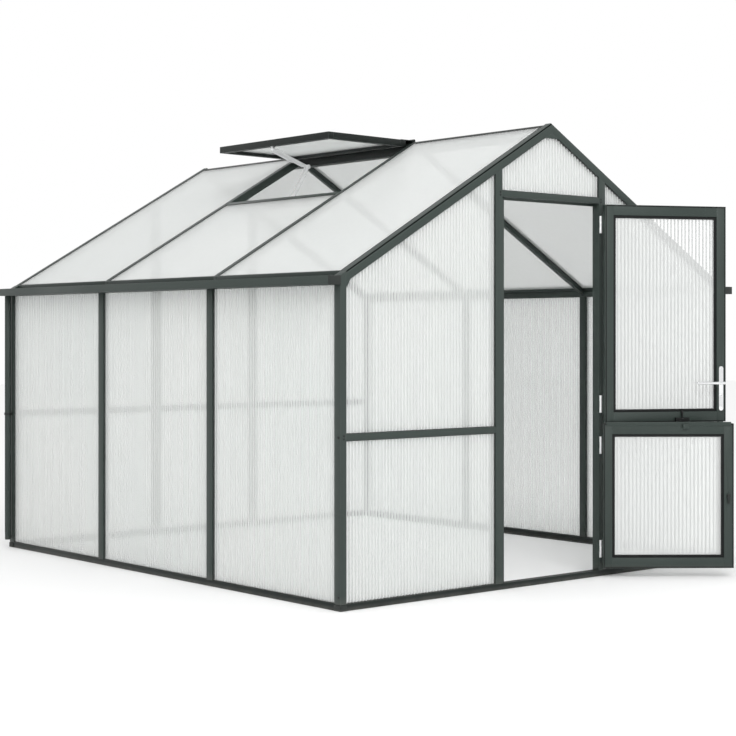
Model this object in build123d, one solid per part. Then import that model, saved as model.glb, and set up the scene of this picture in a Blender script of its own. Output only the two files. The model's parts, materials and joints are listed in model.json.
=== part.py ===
from build123d import *
import math
import os

# Walk-in greenhouse: aluminium profiles, twin-wall sheets, a two-part door and one roof vent.
# Millimetres. +Z is up, X runs along the gable and Y runs from the door to the back wall.
# The origin is the middle of the underside of the front base rail, under the doorway.

# ---- Overall sizes ----
width = 2700.0              # over the outer faces of the side walls
length = 3000.0             # over the outer faces of the two gables
eave_height = 1485.0        # roof surface above the side wall's outer face
pitch_deg = 30.0            # roof slope
bays = 3                    # equal bays along the side walls
profile_wall = 2.0          # wall of every hollow aluminium profile

# ---- Base rails, posts and rails ----
rail_height = 30.0
rail_depth = 40.0
flange_width = 32.0         # inner flange of the side base rails, for the ground anchors
flange_thickness = 3.0
anchor_radius = 5.0
anchor_inset = 300.0        # first and last anchor hole from the gable faces
corner_post_x = 34.0        # corner post's face on the gable
corner_post_y = 45.0        # corner post's face on the side wall
side_post_width = 45.0
side_post_proud = 4.0       # side posts stand this far out of the wall face
door_post_width = 45.0
post_depth = 45.0           # gable posts, front to back
doorway_width = 688.0       # between the door posts
lintel_bottom = 1872.0      # lower edge of the lintel's stop
lintel_height = 42.0        # from the stop's lower edge to the top
lintel_stop = 12.0          # how far the stop hangs below the lintel's face
mid_rail_bottom = 752.0
mid_rail_height = 30.0
mid_rail_depth = 38.0
foot_thickness = 3.0        # plastic cap wrapped round each outer corner of the base
foot_height = 26.0

# ---- Roof members, measured square to the slope ----
rafter_depth = 42.0
rafter_width = 45.0
rafter_chamfer = 8.0        # on the rafters' outer top edge
bar_width = 30.0
ridge_half_width = 30.0
ridge_depth = 72.0
ridge_flat = 12.0           # half width of the flat on top of the ridge
ridge_drop = 1.0            # ridge's shoulders below the roof surface
apex_plate_drop = 28.0      # apex plate's lower edge below the rafters' underside
plate_thickness = 4.0
gusset = 26.0               # leg of the gusset where a rafter meets a corner post

# ---- Eaves beam, gutter and downpipes ----
beam_height = 40.0
gutter_width = 72.0         # outboard of the wall face
gutter_height = 40.0
gutter_wall = 2.0
gutter_lip = 8.0
gutter_gap = 2.0            # gutter floor below the underside of the eaves beam
edge_rail = 4.0             # strip that closes the lower ends of the roof sheets
edge_setback = 4.0          # end of the roof sheets inside the posts' inner faces
edge_ledge = (15.0, 4.0)    # ledge under the roof sheets' lower ends: reach and thickness
end_cap = 3.0
pipe_radius = 17.5
pipe_bore = 15.9
pipe_out = 24.0             # downpipe's centre outside the wall face
pipe_foot = 46.0            # open lower end above the ground
spigot_radius = 16.9        # narrower foot of the pipe, for a hose or an adapter
spigot_length = 40.0
clip_height = 760.0
clip_size = 14.0
clip_wall = 3.0

# ---- Twin-wall sheets ----
sheet = 16.0
skin = 1.1                  # each face of a sheet
sheet_recess = 8.0          # sheet's outer face behind the profiles' outer face
roof_recess = 2.0           # roof sheets below the bars' top

# ---- Roof vent: middle bay of the left slope, bead hinge along the ridge ----
vent_open_deg = 30.6        # how far it stands open as stored, from the closed position
vent_start = 60.0           # sash frame's upper edge, from the hinge axis
vent_end = 593.0            # sash frame's free edge, from the hinge axis
vent_side_gap = 2.5
sash_depth = 35.0
sash_member = 35.0
sash_wall = 1.8
trimmer_start = 601.0       # upper face of the bar below the vent, from the ridge
bead_radius = 5.0
bead_clearance = 0.05
socket_radius = 8.0
socket_foot = 10.0
socket_lift = 1.1           # bead's centre above the ridge line
socket_open = (28.0, 20.0)  # slot beyond level and beyond the closed sash, degrees
strip_thickness = 2.4       # strip between the bead and the sash
strip_lap = 30.0            # how far the strip lies on the sash

# ---- Vent opener: two arms that meet at an elbow ----
foot_pin = 3.0
pin_clearance = 0.05
frame_foot = (592.0, -58.0)     # pivot on the bar below the vent: down the slope, off the surface
sash_foot = (578.0, -53.0)      # pivot under the sash: along the sash, off its top surface
sash_arm = 243.7
frame_arm = 258.0
arm_thickness = 4.0
arm_width = 16.0
arm_gap = 1.0               # between the two arms' planes
elbow_radius = 12.0
elbow_boss = 10.0
foot_plate = 1.5            # screwed plate of the sash bracket

# ---- Door: two leaves on one hinge line ----
hinge_beside = 4.0          # hinge axis, to the right of the doorway
hinge_proud = 6.0           # hinge axis in front of the frame's face
upper_open_deg = 153.5      # how far each leaf stands open as stored
lower_open_deg = 140.6
leaf_edge_gap = 4.0         # hinge side, leaf to post
jamb_width = 22.0           # closing jamb, inside the left door post
jamb_setback = 13.0         # closing jamb's front behind the frame's face
leaf_depth = 40.0
leaf_proud = 1.0            # leaf's outer face in front of the frame
stile = 50.0                # on the free side, with the lock
hinge_stile = 44.0
leaf_rail = 53.0
leaf_sheet_recess = 10.0    # sheet behind the leaf's inner face
lower_leaf_z = (46.0, 774.0)
upper_leaf_z = (777.0, 1877.0)
jamb_gap = 4.0              # free edge to the closing jamb
jamb_lip = 16.0
jamb_lip_gap = 1.0
strip_height = 12.0         # weather strip along the lower leaf's top edge
strip_depth = 10.0

# ---- Hinges ----
hinge_height = 87.0
hinge_centres_upper = (1778.0, 871.0)
hinge_centres_lower = (663.0, 139.0)
knuckle_radius = 6.0
hinge_pin = 3.0
wing_width = 23.0
wing_thickness = 1.8
knuckle_gap = 0.4

# ---- Lock and handle set on the upper leaf's free stile ----
lever_z = 975.0
key_z = 911.0
deadbolt_z = 884.0
plate_z = (833.0, 1060.0)
plate_width = 24.0
plate_depth = 5.0
spindle_radius = 5.0
key_radius = 6.0
key_proud = 2.0             # barrel's ends in front of the plates
key_slot = (2.0, 8.0, 3.0)  # wide, tall, deep
running = 0.06              # radial clearance of the spindle and the key barrel
lever_length = 145.0
lever_radius = 7.0
lever_standoff = 46.0       # lever's centre line off the leaf's face
rose_radius = 11.0
rose_depth = 8.0
latch_size = (20.0, 12.0, 14.0)
latch_reach = 9.0
bolt_nose = 1.0             # flat left beside the bevel
deadbolt_size = (30.0, 10.0, 20.0)
deadbolt_throw = 15.0
bolt_clearance = 0.4
hole_gap = 1.0              # stile and case round the spindle and barrel
case_size = (44.0, 20.0, 200.0)
lock_backset = 27.5         # lock's centre line from the free edge
lock_back = 6.0             # bolts and case behind the middle of the leaf
case_bottom = 858.0
pocket_clearance = 2.0
latch_pocket = 12.0
deadbolt_pocket = 18.0

# ---- Bolt that joins the two leaves, and the lower leaf's turn button ----
catch_x = -74.0             # centre of the catch, in the closed door
catch_size = (74.0, 14.0, 20.0)
catch_lift = 3.0            # catch's underside above the leaf's lower edge
catch_bolt = 4.0
catch_travel = 20.0
catch_knob = 6.0            # knob's radius
catch_knob_height = 12.0
catch_knob_gap = 2.0        # knob above its housing with the bolt dropped
keep_size = (30.0, 14.0, 22.0)
keep_drop = 3.0
keep_clearance = 0.4
button_z = 410.0
button_radius = 10.0
button_depth = 7.7
button_gap = 0.3
button_pin = 4.0
tongue = (46.0, 12.0, 4.0)
tongue_tail = 9.0

# ---- Derived places ----
pitch = math.radians(pitch_deg)
half_width = width / 2
front_y = -rail_depth / 2
back_y = front_y + length
bay = length / bays
middle_y = (front_y + back_y) / 2
ridge_z = eave_height + half_width * math.tan(pitch)
wall_inner = half_width - corner_post_x
beam_bottom = eave_height - beam_height
post_back = front_y + corner_post_y
back_post_front = back_y - corner_post_y
door_half = doorway_width / 2
door_outer = door_half + door_post_width
hinge_x = door_half + hinge_beside
hinge_y = front_y - hinge_proud
leaf_x1 = door_half - leaf_edge_gap
leaf_x0 = jamb_width + jamb_gap - door_half
leaf_y0 = front_y - leaf_proud
leaf_y1 = leaf_y0 + leaf_depth
leaf_sheet_y = (leaf_y1 - leaf_sheet_recess - sheet, leaf_y1 - leaf_sheet_recess)
lock_x = leaf_x0 + lock_backset
lock_y = (leaf_y0 + leaf_y1) / 2 + lock_back
gutter_z = beam_bottom - gutter_gap
vent_y = (front_y + bay + bar_width / 2, front_y + 2 * bay - bar_width / 2)
sash_y = (vent_y[0] + vent_side_gap, vent_y[1] - vent_side_gap)
hinge_axis_z = ridge_z + socket_lift
sash_top = (ridge_z - hinge_axis_z) * math.cos(pitch)
pipe_x = half_width + pipe_out
pipe_y = (back_post_front + back_y) / 2
far = 40.0                  # how far cutting tools run past what they cut
sides = {"left": -1, "right": 1}


# ---- Basic shapes ----
def block(x, y, z):
    """Box between three (low, high) pairs."""
    middle = ((x[0] + x[1]) / 2, (y[0] + y[1]) / 2, (z[0] + z[1]) / 2)
    return Pos(*middle) * Box(x[1] - x[0], y[1] - y[0], z[1] - z[0])


def tube(x, y, z, along, wall=profile_wall):
    """Box profile with open ends along axis 0, 1 or 2."""
    inner = [(low + wall, high - wall) for low, high in (x, y, z)]
    outer = (x, y, z)[along]
    inner[along] = (outer[0] - far, outer[1] + far)
    return block(x, y, z) - block(*inner)


def prism(points, y):
    """Polygon of (x, z) points, extruded from y[0] to y[1]."""
    outline = Polyline(*[(px, y[0], pz) for px, pz in points], close=True)
    return extrude(make_face(outline), amount=y[1] - y[0], dir=(0, 1, 0))


def rod(start, end, radius):
    """Round bar between two points."""
    axis = Vector(*end) - Vector(*start)
    return Plane(origin=start, z_dir=axis) * Cylinder(
        radius, axis.length, align=(Align.CENTER, Align.CENTER, Align.MIN)
    )


def group(*pieces):
    """Several separate solids in one node."""
    return Compound(children=[Part() + piece for piece in pieces])


def mirrored(points, side):
    """The same outline on the left (-1) or right (1)."""
    return [(side * px, pz) for px, pz in points]


def roof_z(x, off=0.0):
    """Height of the roof surface at x, moved off it by a distance square to the slope."""
    return ridge_z + off / math.cos(pitch) - abs(x) * math.tan(pitch)


def slope_x(down):
    """Distance from the ridge in plan, for a distance down the slope."""
    return down * math.cos(pitch)


def sloped(side, x, off, y):
    """Solid that follows one roof slope between two plan distances and two offsets."""
    points = [
        (x[0], roof_z(x[0], off[1])),
        (x[1], roof_z(x[1], off[1])),
        (x[1], roof_z(x[1], off[0])),
        (x[0], roof_z(x[0], off[0])),
    ]
    return prism(mirrored(points, side), y)


def sloped_tube(side, x, y, wall=profile_wall):
    """Hollow roof member, open at both ends, as deep as the rafters."""
    outer = sloped(side, x, (-rafter_depth, 0), y)
    hole_x = (max(0, x[0] - far), x[1] + far)
    hole = sloped(side, hole_x, (-rafter_depth + wall, -wall), (y[0] + wall, y[1] - wall))
    return outer - hole


# ---- Base ----
def base_rail_gable(y):
    """Rail under one gable, across the whole width; the front one is the doorstep."""
    return tube((-half_width, half_width), y, (0, rail_height), 0)


def base_rail_side(side):
    """Rail under one side wall, with an inner flange drilled for four ground anchors in all."""
    y = (front_y + rail_depth, back_y - rail_depth)
    x = sorted((side * half_width, side * (half_width - rail_depth)))
    rail = tube(x, y, (0, rail_height), 1)
    edge = half_width - rail_depth
    flange_x = sorted((side * edge, side * (edge - flange_width)))
    flange = block(flange_x, y, (0, flange_thickness))
    hole_x = side * (edge - flange_width / 2)
    for hole_y in (front_y + anchor_inset, back_y - anchor_inset):
        flange -= rod((hole_x, hole_y, -far), (hole_x, hole_y, far), anchor_radius)
    return rail + flange


def corner_foot(side, end):
    """Thin cap round one outer corner of the base."""
    face = front_y if end < 0 else back_y
    inward = -end
    x = sorted((side * (half_width + foot_thickness), side * wall_inner))
    y = sorted((face + end * foot_thickness, face + inward * corner_post_y))
    cap = block(x, y, (0, foot_height))
    vertical = cap.edges().filter_by(Axis.Z)
    outer = vertical.sort_by(lambda edge: side * edge.center().X + end * edge.center().Y)[-1]
    cap = fillet(outer, foot_thickness)
    inner_x = sorted((side * half_width, side * (wall_inner - far)))
    inner_y = sorted((face, face + inward * (corner_post_y + far)))
    return cap - block(inner_x, inner_y, (-far, far))


# ---- Posts ----
def sloping_top(x, y, bottom, drop):
    """Hollow post whose top is cut to the roof slope, a given distance under its surface."""
    low, high = sorted(x)
    outline = [(low, bottom), (high, bottom), (high, roof_z(high, -drop)), (low, roof_z(low, -drop))]
    hole = block(
        (low + profile_wall, high - profile_wall),
        (y[0] + profile_wall, y[1] - profile_wall),
        (bottom - far, 2 * ridge_z),
    )
    return prism(outline, y) - hole


def corner_post(side, end):
    """Post at one corner, up to the roof surface."""
    y = (front_y, post_back) if end < 0 else (back_post_front, back_y)
    return sloping_top((side * wall_inner, side * half_width), y, rail_height, 0)


def gable_post(side, end):
    """Door post or back post, up to the underside of the rafter."""
    y = (front_y, front_y + post_depth) if end < 0 else (back_y - post_depth, back_y)
    return sloping_top((side * door_half, side * door_outer), y, rail_height, rafter_depth)


def side_post(side, number):
    """Post between two bays of a side wall, up to the eaves beam."""
    centre = front_y + number * bay
    y = (centre - side_post_width / 2, centre + side_post_width / 2)
    x = sorted((side * wall_inner, side * (half_width + side_post_proud)))
    post = tube(x, y, (rail_height, beam_bottom - gutter_gap), 2)
    cap = block(
        sorted((side * wall_inner, side * half_width)),
        y,
        (beam_bottom - gutter_gap, beam_bottom),
    )
    return post + cap


def mid_rail(x, y):
    """Horizontal rail between two gable posts."""
    return tube(x, y, (mid_rail_bottom, mid_rail_bottom + mid_rail_height), 0)


def gable_rail_y(end):
    """Depth range of the rails in the front (-1) or back (1) gable."""
    if end < 0:
        return (front_y, front_y + mid_rail_depth)
    return (back_y - mid_rail_depth, back_y)


def door_lintel():
    """Rail over the doorway, with a stop behind the leaf hanging below its inner face."""
    z = (lintel_bottom + lintel_stop, lintel_bottom + lintel_height)
    rail = tube((-door_half, door_half), (front_y, front_y + post_depth), z, 0)
    stop_x = (leaf_x0 - jamb_gap, door_half)
    stop_y = (leaf_y1 + jamb_lip_gap, front_y + post_depth)
    return rail + block(stop_x, stop_y, (lintel_bottom, lintel_bottom + lintel_stop))


# ---- Roof ----
def rafter(side, end):
    """Gable rafter from the ridge to the corner post."""
    y = (front_y, front_y + rafter_width) if end < 0 else (back_y - rafter_width, back_y)
    bar = sloped_tube(side, (0, wall_inner), y)
    face = y[0] if end < 0 else y[1]
    tip = rafter_chamfer
    corner = [(face, 0), (face + (-end) * tip, 0), (face, -tip / math.cos(pitch))]
    outline = Polyline(*[(0, cy, ridge_z + cz) for cy, cz in corner], close=True)
    down = (side * math.cos(pitch), 0, -math.sin(pitch))
    cut = extrude(make_face(outline), amount=2 * width, dir=down)
    wide = sorted((0, side * wall_inner))
    cut = cut & block(wide, (y[0] - far, y[1] + far), (0, 2 * ridge_z))
    return bar - cut


def roof_bar(side, number):
    """Bar between two bays of a roof slope."""
    centre = front_y + number * bay
    y = (centre - bar_width / 2, centre + bar_width / 2)
    return sloped_tube(side, (ridge_half_width, wall_inner), y)


def vent_trimmer():
    """Bar across the middle bay, below the vent."""
    x = (slope_x(trimmer_start), slope_x(trimmer_start + bar_width))
    outer = sloped(-1, x, (-rafter_depth, 0), vent_y)
    inner_x = (x[0] + profile_wall, x[1] - profile_wall)
    inner_off = (-rafter_depth + profile_wall, -profile_wall)
    return outer - sloped(-1, inner_x, inner_off, (vent_y[0] - far, vent_y[1] + far))


def ridge_beam():
    """Ridge between the gable rafters, with the vent's hinge socket on its flat top."""
    y = (front_y + rafter_width, back_y - rafter_width)
    shoulder = roof_z(ridge_half_width, -ridge_drop)
    flat = roof_z(ridge_flat, -ridge_drop)
    bottom = ridge_z - ridge_depth
    outline = [
        (-ridge_flat, flat),
        (ridge_flat, flat),
        (ridge_half_width, shoulder),
        (ridge_half_width, bottom),
        (-ridge_half_width, bottom),
        (-ridge_half_width, shoulder),
    ]
    inner = [(-ridge_half_width + profile_wall, bottom + profile_wall)]
    inner += [(ridge_half_width - profile_wall, bottom + profile_wall)]
    inner += [(ridge_half_width - profile_wall, shoulder - profile_wall)]
    inner += [(ridge_flat - profile_wall, flat - profile_wall)]
    inner += [(-ridge_flat + profile_wall, flat - profile_wall)]
    inner += [(-ridge_half_width + profile_wall, shoulder - profile_wall)]
    beam = prism(outline, y) - prism(inner, (y[0] - far, y[1] + far))
    return beam + hinge_socket(flat)


def hinge_socket(flat):
    """Open socket that holds the vent's bead, slotted over the sash's travel."""
    start = (0, vent_y[0], hinge_axis_z)
    end = (0, vent_y[1], hinge_axis_z)
    socket = rod(start, end, socket_radius)
    foot_top = flat + 2 * strip_thickness
    socket += block((-socket_foot, socket_foot), vent_y, (flat - profile_wall / 2, foot_top))
    high = math.radians(180 - socket_open[0])
    low = math.radians(180 + pitch_deg + socket_open[1])
    reach = 3 * socket_radius
    wedge = [(0, hinge_axis_z)]
    for angle in (high, math.pi, low):
        wedge.append((reach * math.cos(angle), hinge_axis_z + reach * math.sin(angle)))
    slot = prism(wedge, vent_y)
    hollow = rod(start, end, bead_radius + bead_clearance)
    keep_base = block((-far, far), vent_y, (flat - far, flat))
    return socket - (slot - keep_base) - hollow


def joint_plates():
    """Apex plate on each gable and a gusset at each end of every gable rafter."""
    plates = []
    for end in (-1, 1):
        face = front_y if end < 0 else back_y
        y = sorted((face, face - end * plate_thickness))
        under = roof_z(0, -rafter_depth)
        half = apex_plate_drop / math.tan(pitch)
        apex = [(0, under), (half, under - apex_plate_drop), (-half, under - apex_plate_drop)]
        plates.append(prism(apex, y))
        for side in sides.values():
            top = roof_z(wall_inner, -rafter_depth)
            inner_x = wall_inner - gusset
            corner = [
                (wall_inner, top),
                (inner_x, roof_z(inner_x, -rafter_depth)),
                (wall_inner, top - gusset),
            ]
            plates.append(prism(mirrored(corner, side), y))
    return group(*plates)


# ---- Eaves ----
def edge_strips(side, y):
    """Ledge under the lower ends of the roof sheets, the rail that closes them, and its flange."""
    edge = wall_inner - edge_setback
    inside = edge - edge_ledge[0]
    outside = edge + edge_rail
    under = -roof_recess - sheet
    bottom = roof_z(edge, under) - edge_ledge[1]
    ledge = [
        (inside, bottom),
        (edge, bottom),
        (edge, roof_z(edge, under)),
        (inside, roof_z(inside, under)),
    ]
    rail = [
        (edge, bottom),
        (outside, bottom),
        (outside, roof_z(outside)),
        (edge, roof_z(edge)),
    ]
    flange_x = sorted((side * outside, side * (half_width - edge_rail)))
    flange = block(flange_x, y, (eave_height, eave_height + profile_wall))
    return [prism(mirrored(ledge, side), y), prism(mirrored(rail, side), y), flange]


def gutter_trough(side):
    """Inner wall, floor with the outlet, outer wall and lip of a gutter."""
    y = (front_y, back_y)
    low, high = half_width, half_width + gutter_width
    top = gutter_z + gutter_height
    walls_z = (gutter_z + gutter_wall, top)
    floor = block(sorted((side * low, side * high)), y, (gutter_z, gutter_z + gutter_wall))
    outlet = rod((side * pipe_x, pipe_y, gutter_z - far), (side * pipe_x, pipe_y, top), pipe_bore)
    inner = block(sorted((side * low, side * (low + gutter_wall))), y, walls_z)
    outer = block(sorted((side * (high - gutter_wall), side * high)), y, walls_z)
    lip_x = sorted((side * (high - gutter_lip), side * (high - gutter_wall)))
    lip = block(lip_x, y, (top - gutter_wall, top))
    return [floor - outlet, inner, outer, lip]


def gutter(side):
    """Eaves beam, roof edge rail and gutter trough, as the simple solids they are made of."""
    x = sorted((side * wall_inner, side * half_width))
    pieces = [tube(x, (post_back, back_post_front), (beam_bottom, eave_height), 1)]
    for number in range(bays):
        pieces += edge_strips(side, bay_gap(number))
    pieces += gutter_trough(side)
    return group(*pieces)


def bay_gap(number):
    """Clear width of one bay between its roof members."""
    first = front_y + number * bay + bar_width / 2
    last = front_y + (number + 1) * bay - bar_width / 2
    if number == 0:
        first = front_y + rafter_width
    if number == bays - 1:
        last = back_y - rafter_width
    return (first, last)


def gutter_end_cap(side, end):
    """Plate that closes one end of a gutter."""
    face = front_y if end < 0 else back_y
    x = sorted((side * half_width, side * (half_width + gutter_width)))
    y = sorted((face, face + end * end_cap))
    return block(x, y, (gutter_z, gutter_z + gutter_height))


def downpipe(side):
    """Pipe under the rear end of a gutter, with a narrower spigot at its foot."""
    foot = (side * pipe_x, pipe_y, pipe_foot)
    shoulder = (side * pipe_x, pipe_y, pipe_foot + spigot_length)
    end = (side * pipe_x, pipe_y, gutter_z)
    bore_start = (foot[0], foot[1], foot[2] - far)
    bore_end = (end[0], end[1], end[2] + far)
    pipe = rod(foot, shoulder, spigot_radius) + rod(shoulder, end, pipe_radius)
    return pipe - rod(bore_start, bore_end, pipe_bore)


def pipe_clip(side):
    """Ring round the downpipe with a lug to the corner post."""
    low = (side * pipe_x, pipe_y, clip_height)
    high = (side * pipe_x, pipe_y, clip_height + clip_size)
    ring = rod(low, high, pipe_radius + clip_wall)
    lug_x = sorted((side * half_width, side * pipe_x))
    lug_y = (pipe_y - clip_size / 2, pipe_y + clip_size / 2)
    ring += block(lug_x, lug_y, (clip_height, clip_height + clip_size))
    return ring - rod((low[0], low[1], 0), (high[0], high[1], ridge_z), pipe_radius)


# ---- Sheets ----
def gable_sheet(points, end):
    """Sheet in a gable, from its (x, z) outline; its flutes run upright and are open."""
    outer = front_y + sheet_recess if end < 0 else back_y - sheet_recess - sheet
    y = (outer, outer + sheet)
    xs = [px for px, pz in points]
    void = block(
        (min(xs) + skin, max(xs) - skin),
        (y[0] + skin, y[1] - skin),
        (-far, 2 * ridge_z),
    )
    return prism(points, y) - void


def rafter_underside(x):
    """Height of the gable rafter's underside at x."""
    return roof_z(x, -rafter_depth)


def gable_side_sheets(side, end):
    """Lower and upper sheet between a corner post and a gable post."""
    inner, outer = door_outer, wall_inner
    rail_top = mid_rail_bottom + mid_rail_height
    lower = [(inner, rail_height), (outer, rail_height), (outer, mid_rail_bottom), (inner, mid_rail_bottom)]
    upper = [(inner, rail_top), (outer, rail_top), (outer, rafter_underside(outer))]
    upper.append((inner, rafter_underside(inner)))
    return [gable_sheet(mirrored(points, side), end) for points in (lower, upper)]


def gable_middle_sheet(bottom, end):
    """Pentagon between the two middle posts, up to the apex."""
    points = [
        (-door_half, bottom),
        (door_half, bottom),
        (door_half, rafter_underside(door_half)),
        (0, rafter_underside(0)),
        (-door_half, rafter_underside(door_half)),
    ]
    return gable_sheet(points, end)


def glazing_front():
    """Four side sheets and the sheet over the door."""
    pieces = gable_side_sheets(-1, -1) + gable_side_sheets(1, -1)
    pieces.append(gable_middle_sheet(lintel_bottom + lintel_height, -1))
    return group(*pieces)


def glazing_back():
    """Four side sheets and two middle sheets."""
    pieces = gable_side_sheets(-1, 1) + gable_side_sheets(1, 1)
    lower = [(-door_half, rail_height), (door_half, rail_height)]
    lower += [(door_half, mid_rail_bottom), (-door_half, mid_rail_bottom)]
    pieces.append(gable_sheet(lower, 1))
    pieces.append(gable_middle_sheet(mid_rail_bottom + mid_rail_height, 1))
    return group(*pieces)


def wall_bay(number):
    """Clear width of one bay between its wall posts."""
    first = front_y + number * bay + side_post_width / 2
    last = front_y + (number + 1) * bay - side_post_width / 2
    if number == 0:
        first = post_back
    if number == bays - 1:
        last = back_post_front
    return (first, last)


def glazing_wall(side):
    """One full-height sheet in each bay of a side wall."""
    pieces = []
    outer = half_width - sheet_recess
    for number in range(bays):
        y = wall_bay(number)
        x = sorted((side * outer, side * (outer - sheet)))
        void_x = (x[0] + skin, x[1] - skin)
        body = block(x, y, (rail_height, beam_bottom))
        void = block(void_x, (y[0] + skin, y[1] - skin), (0, ridge_z))
        pieces.append(body - void)
    return group(*pieces)


def glazing_roof(side):
    """One sheet in each bay of a slope; the one below the vent starts at its lower bar."""
    pieces = []
    end_x = wall_inner - edge_setback
    for number in range(bays):
        start_x = ridge_half_width
        if side < 0 and number == 1:
            start_x = slope_x(trimmer_start + bar_width)
        y = bay_gap(number)
        off = (-roof_recess - sheet, -roof_recess)
        body = sloped(side, (start_x, end_x), off, y)
        void_off = (off[0] + skin, off[1] - skin)
        void = sloped(side, (start_x - skin, end_x + skin), void_off, (y[0] + skin, y[1] - skin))
        pieces.append(body - void)
    return group(*pieces)


# ---- Roof vent ----
def tilt(piece, degrees):
    """Turns a piece about the vent's hinge axis; positive opens the vent."""
    place = Pos(0, 0, hinge_axis_z)
    turn = Rotation(0, degrees, 0)
    return place * turn * place.inverse() * piece


def along_sash(u, v, y):
    """Box in the sash's own directions, laid out level along -X from the hinge axis."""
    return block((-u[1], -u[0]), y, (hinge_axis_z + v[0], hinge_axis_z + v[1]))


def placed_sash(piece):
    """Takes a piece laid out level to where the vent stands as stored."""
    return tilt(piece, vent_open_deg - pitch_deg)


def vent_sash():
    """Sash frame of four hollow members, with the hinge bead on its upper member."""
    v = (sash_top - sash_depth, sash_top)
    inner_u = (vent_start + sash_member, vent_end - sash_member)
    top_u = (vent_start, inner_u[0])
    low_u = (inner_u[1], vent_end)
    members = []
    for u in (top_u, low_u):
        member = along_sash(u, v, sash_y)
        hollow_u = (u[0] + sash_wall, u[1] - sash_wall)
        hollow_v = (v[0] + sash_wall, v[1] - sash_wall)
        members.append(member - along_sash(hollow_u, hollow_v, (sash_y[0] - far, sash_y[1] + far)))
    for y in ((sash_y[0], sash_y[0] + sash_member), (sash_y[1] - sash_member, sash_y[1])):
        member = along_sash(inner_u, v, y)
        hollow_y = (y[0] + sash_wall, y[1] - sash_wall)
        hollow_v = (v[0] + sash_wall, v[1] - sash_wall)
        members.append(member - along_sash((inner_u[0] - far, inner_u[1] + far), hollow_v, hollow_y))
    start = (0, sash_y[0], hinge_axis_z)
    end = (0, sash_y[1], hinge_axis_z)
    strip = along_sash((0, vent_start + strip_lap), (sash_top, sash_top + strip_thickness), sash_y)
    members.append(rod(start, end, bead_radius) + strip)
    return placed_sash(group(*members))


def vent_sheet():
    """Twin-wall sheet inside the sash, level with its top."""
    u = (vent_start + sash_member, vent_end - sash_member)
    v = (sash_top - roof_recess - sheet, sash_top - roof_recess)
    y = (sash_y[0] + sash_member, sash_y[1] - sash_member)
    body = along_sash(u, v, y)
    hollow_u = (u[0] - skin, u[1] + skin)
    void = along_sash(hollow_u, (v[0] + skin, v[1] - skin), (y[0] + skin, y[1] - skin))
    return placed_sash(body - void)


def slope_point(down, off):
    """(x, z) of a point on the left slope, from the hinge axis."""
    x = -down * math.cos(pitch) - off * math.sin(pitch)
    z = hinge_axis_z - down * math.sin(pitch) + off * math.cos(pitch)
    return (x, z)


def sash_point(u, v, opened):
    """(x, z) of a point on the sash when it stands open by so many degrees."""
    angle = math.radians(pitch_deg - opened)
    x = -u * math.cos(angle) - v * math.sin(angle)
    z = hinge_axis_z - u * math.sin(angle) + v * math.cos(angle)
    return (x, z)


def elbow_point(opened):
    """(x, z) where the two arms meet when the vent stands open by so many degrees."""
    fx, fz = slope_point(*frame_foot)
    sx, sz = sash_point(*sash_foot, opened)
    gap = math.hypot(sx - fx, sz - fz)
    along = (frame_arm ** 2 - sash_arm ** 2 + gap ** 2) / (2 * gap)
    across = math.sqrt(frame_arm ** 2 - along ** 2)
    ux, uz = (sx - fx) / gap, (sz - fz) / gap
    return (fx + along * ux + across * uz, fz + along * uz - across * ux)


def flat_arm(start, end, y):
    """Flat bar between two pivots, with an eye at the foot and a boss at the elbow."""
    (x0, z0), (x1, z1) = start, end
    reach = math.hypot(x1 - x0, z1 - z0)
    nx, nz = -(z1 - z0) / reach * arm_width / 2, (x1 - x0) / reach * arm_width / 2
    bar = prism([(x0 + nx, z0 + nz), (x1 + nx, z1 + nz), (x1 - nx, z1 - nz), (x0 - nx, z0 - nz)], y)
    bar += rod((x0, y[0], z0), (x0, y[1], z0), arm_width / 2)
    return bar - rod((x0, y[0] - far, z0), (x0, y[1] + far, z0), foot_pin + pin_clearance)


def opener_planes():
    """Depth ranges of the frame arm and of the sash arm, side by side."""
    low = (middle_y - arm_gap / 2 - arm_thickness, middle_y - arm_gap / 2)
    high = (middle_y + arm_gap / 2, middle_y + arm_gap / 2 + arm_thickness)
    return low, high


def frame_side_arm():
    """Arm from the bar below the vent to the elbow, with the elbow's joint body."""
    y, _ = opener_planes()
    elbow = elbow_point(vent_open_deg)
    arm = flat_arm(slope_point(*frame_foot), elbow, y)
    boss = rod((elbow[0], y[1] - elbow_boss, elbow[1]), (elbow[0], y[1], elbow[1]), elbow_radius)
    return arm + boss


def sash_side_arm():
    """Arm from the sash to the elbow."""
    _, y = opener_planes()
    elbow = elbow_point(vent_open_deg)
    arm = flat_arm(sash_point(*sash_foot, vent_open_deg), elbow, y)
    boss = rod((elbow[0], y[0], elbow[1]), (elbow[0], y[0] + elbow_boss, elbow[1]), elbow_radius)
    return arm + boss


def opener_frame_foot():
    """Bracket on the bar below the vent, with the pin for the frame-side arm."""
    y, _ = opener_planes()
    cheek_y = (y[0] - arm_gap - arm_thickness, y[0] - arm_gap)
    x, z = slope_point(*frame_foot)
    half = arm_width / 2
    face_x = -slope_x(trimmer_start)
    low = roof_z(face_x, -rafter_depth)
    outline = [(x - half, z - half), (x + half, z - half), (x + half, z + half)]
    outline += [(face_x, low + arm_width), (face_x, low)]
    return prism(outline, cheek_y) + rod((x, cheek_y[0], z), (x, y[1], z), foot_pin)


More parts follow.
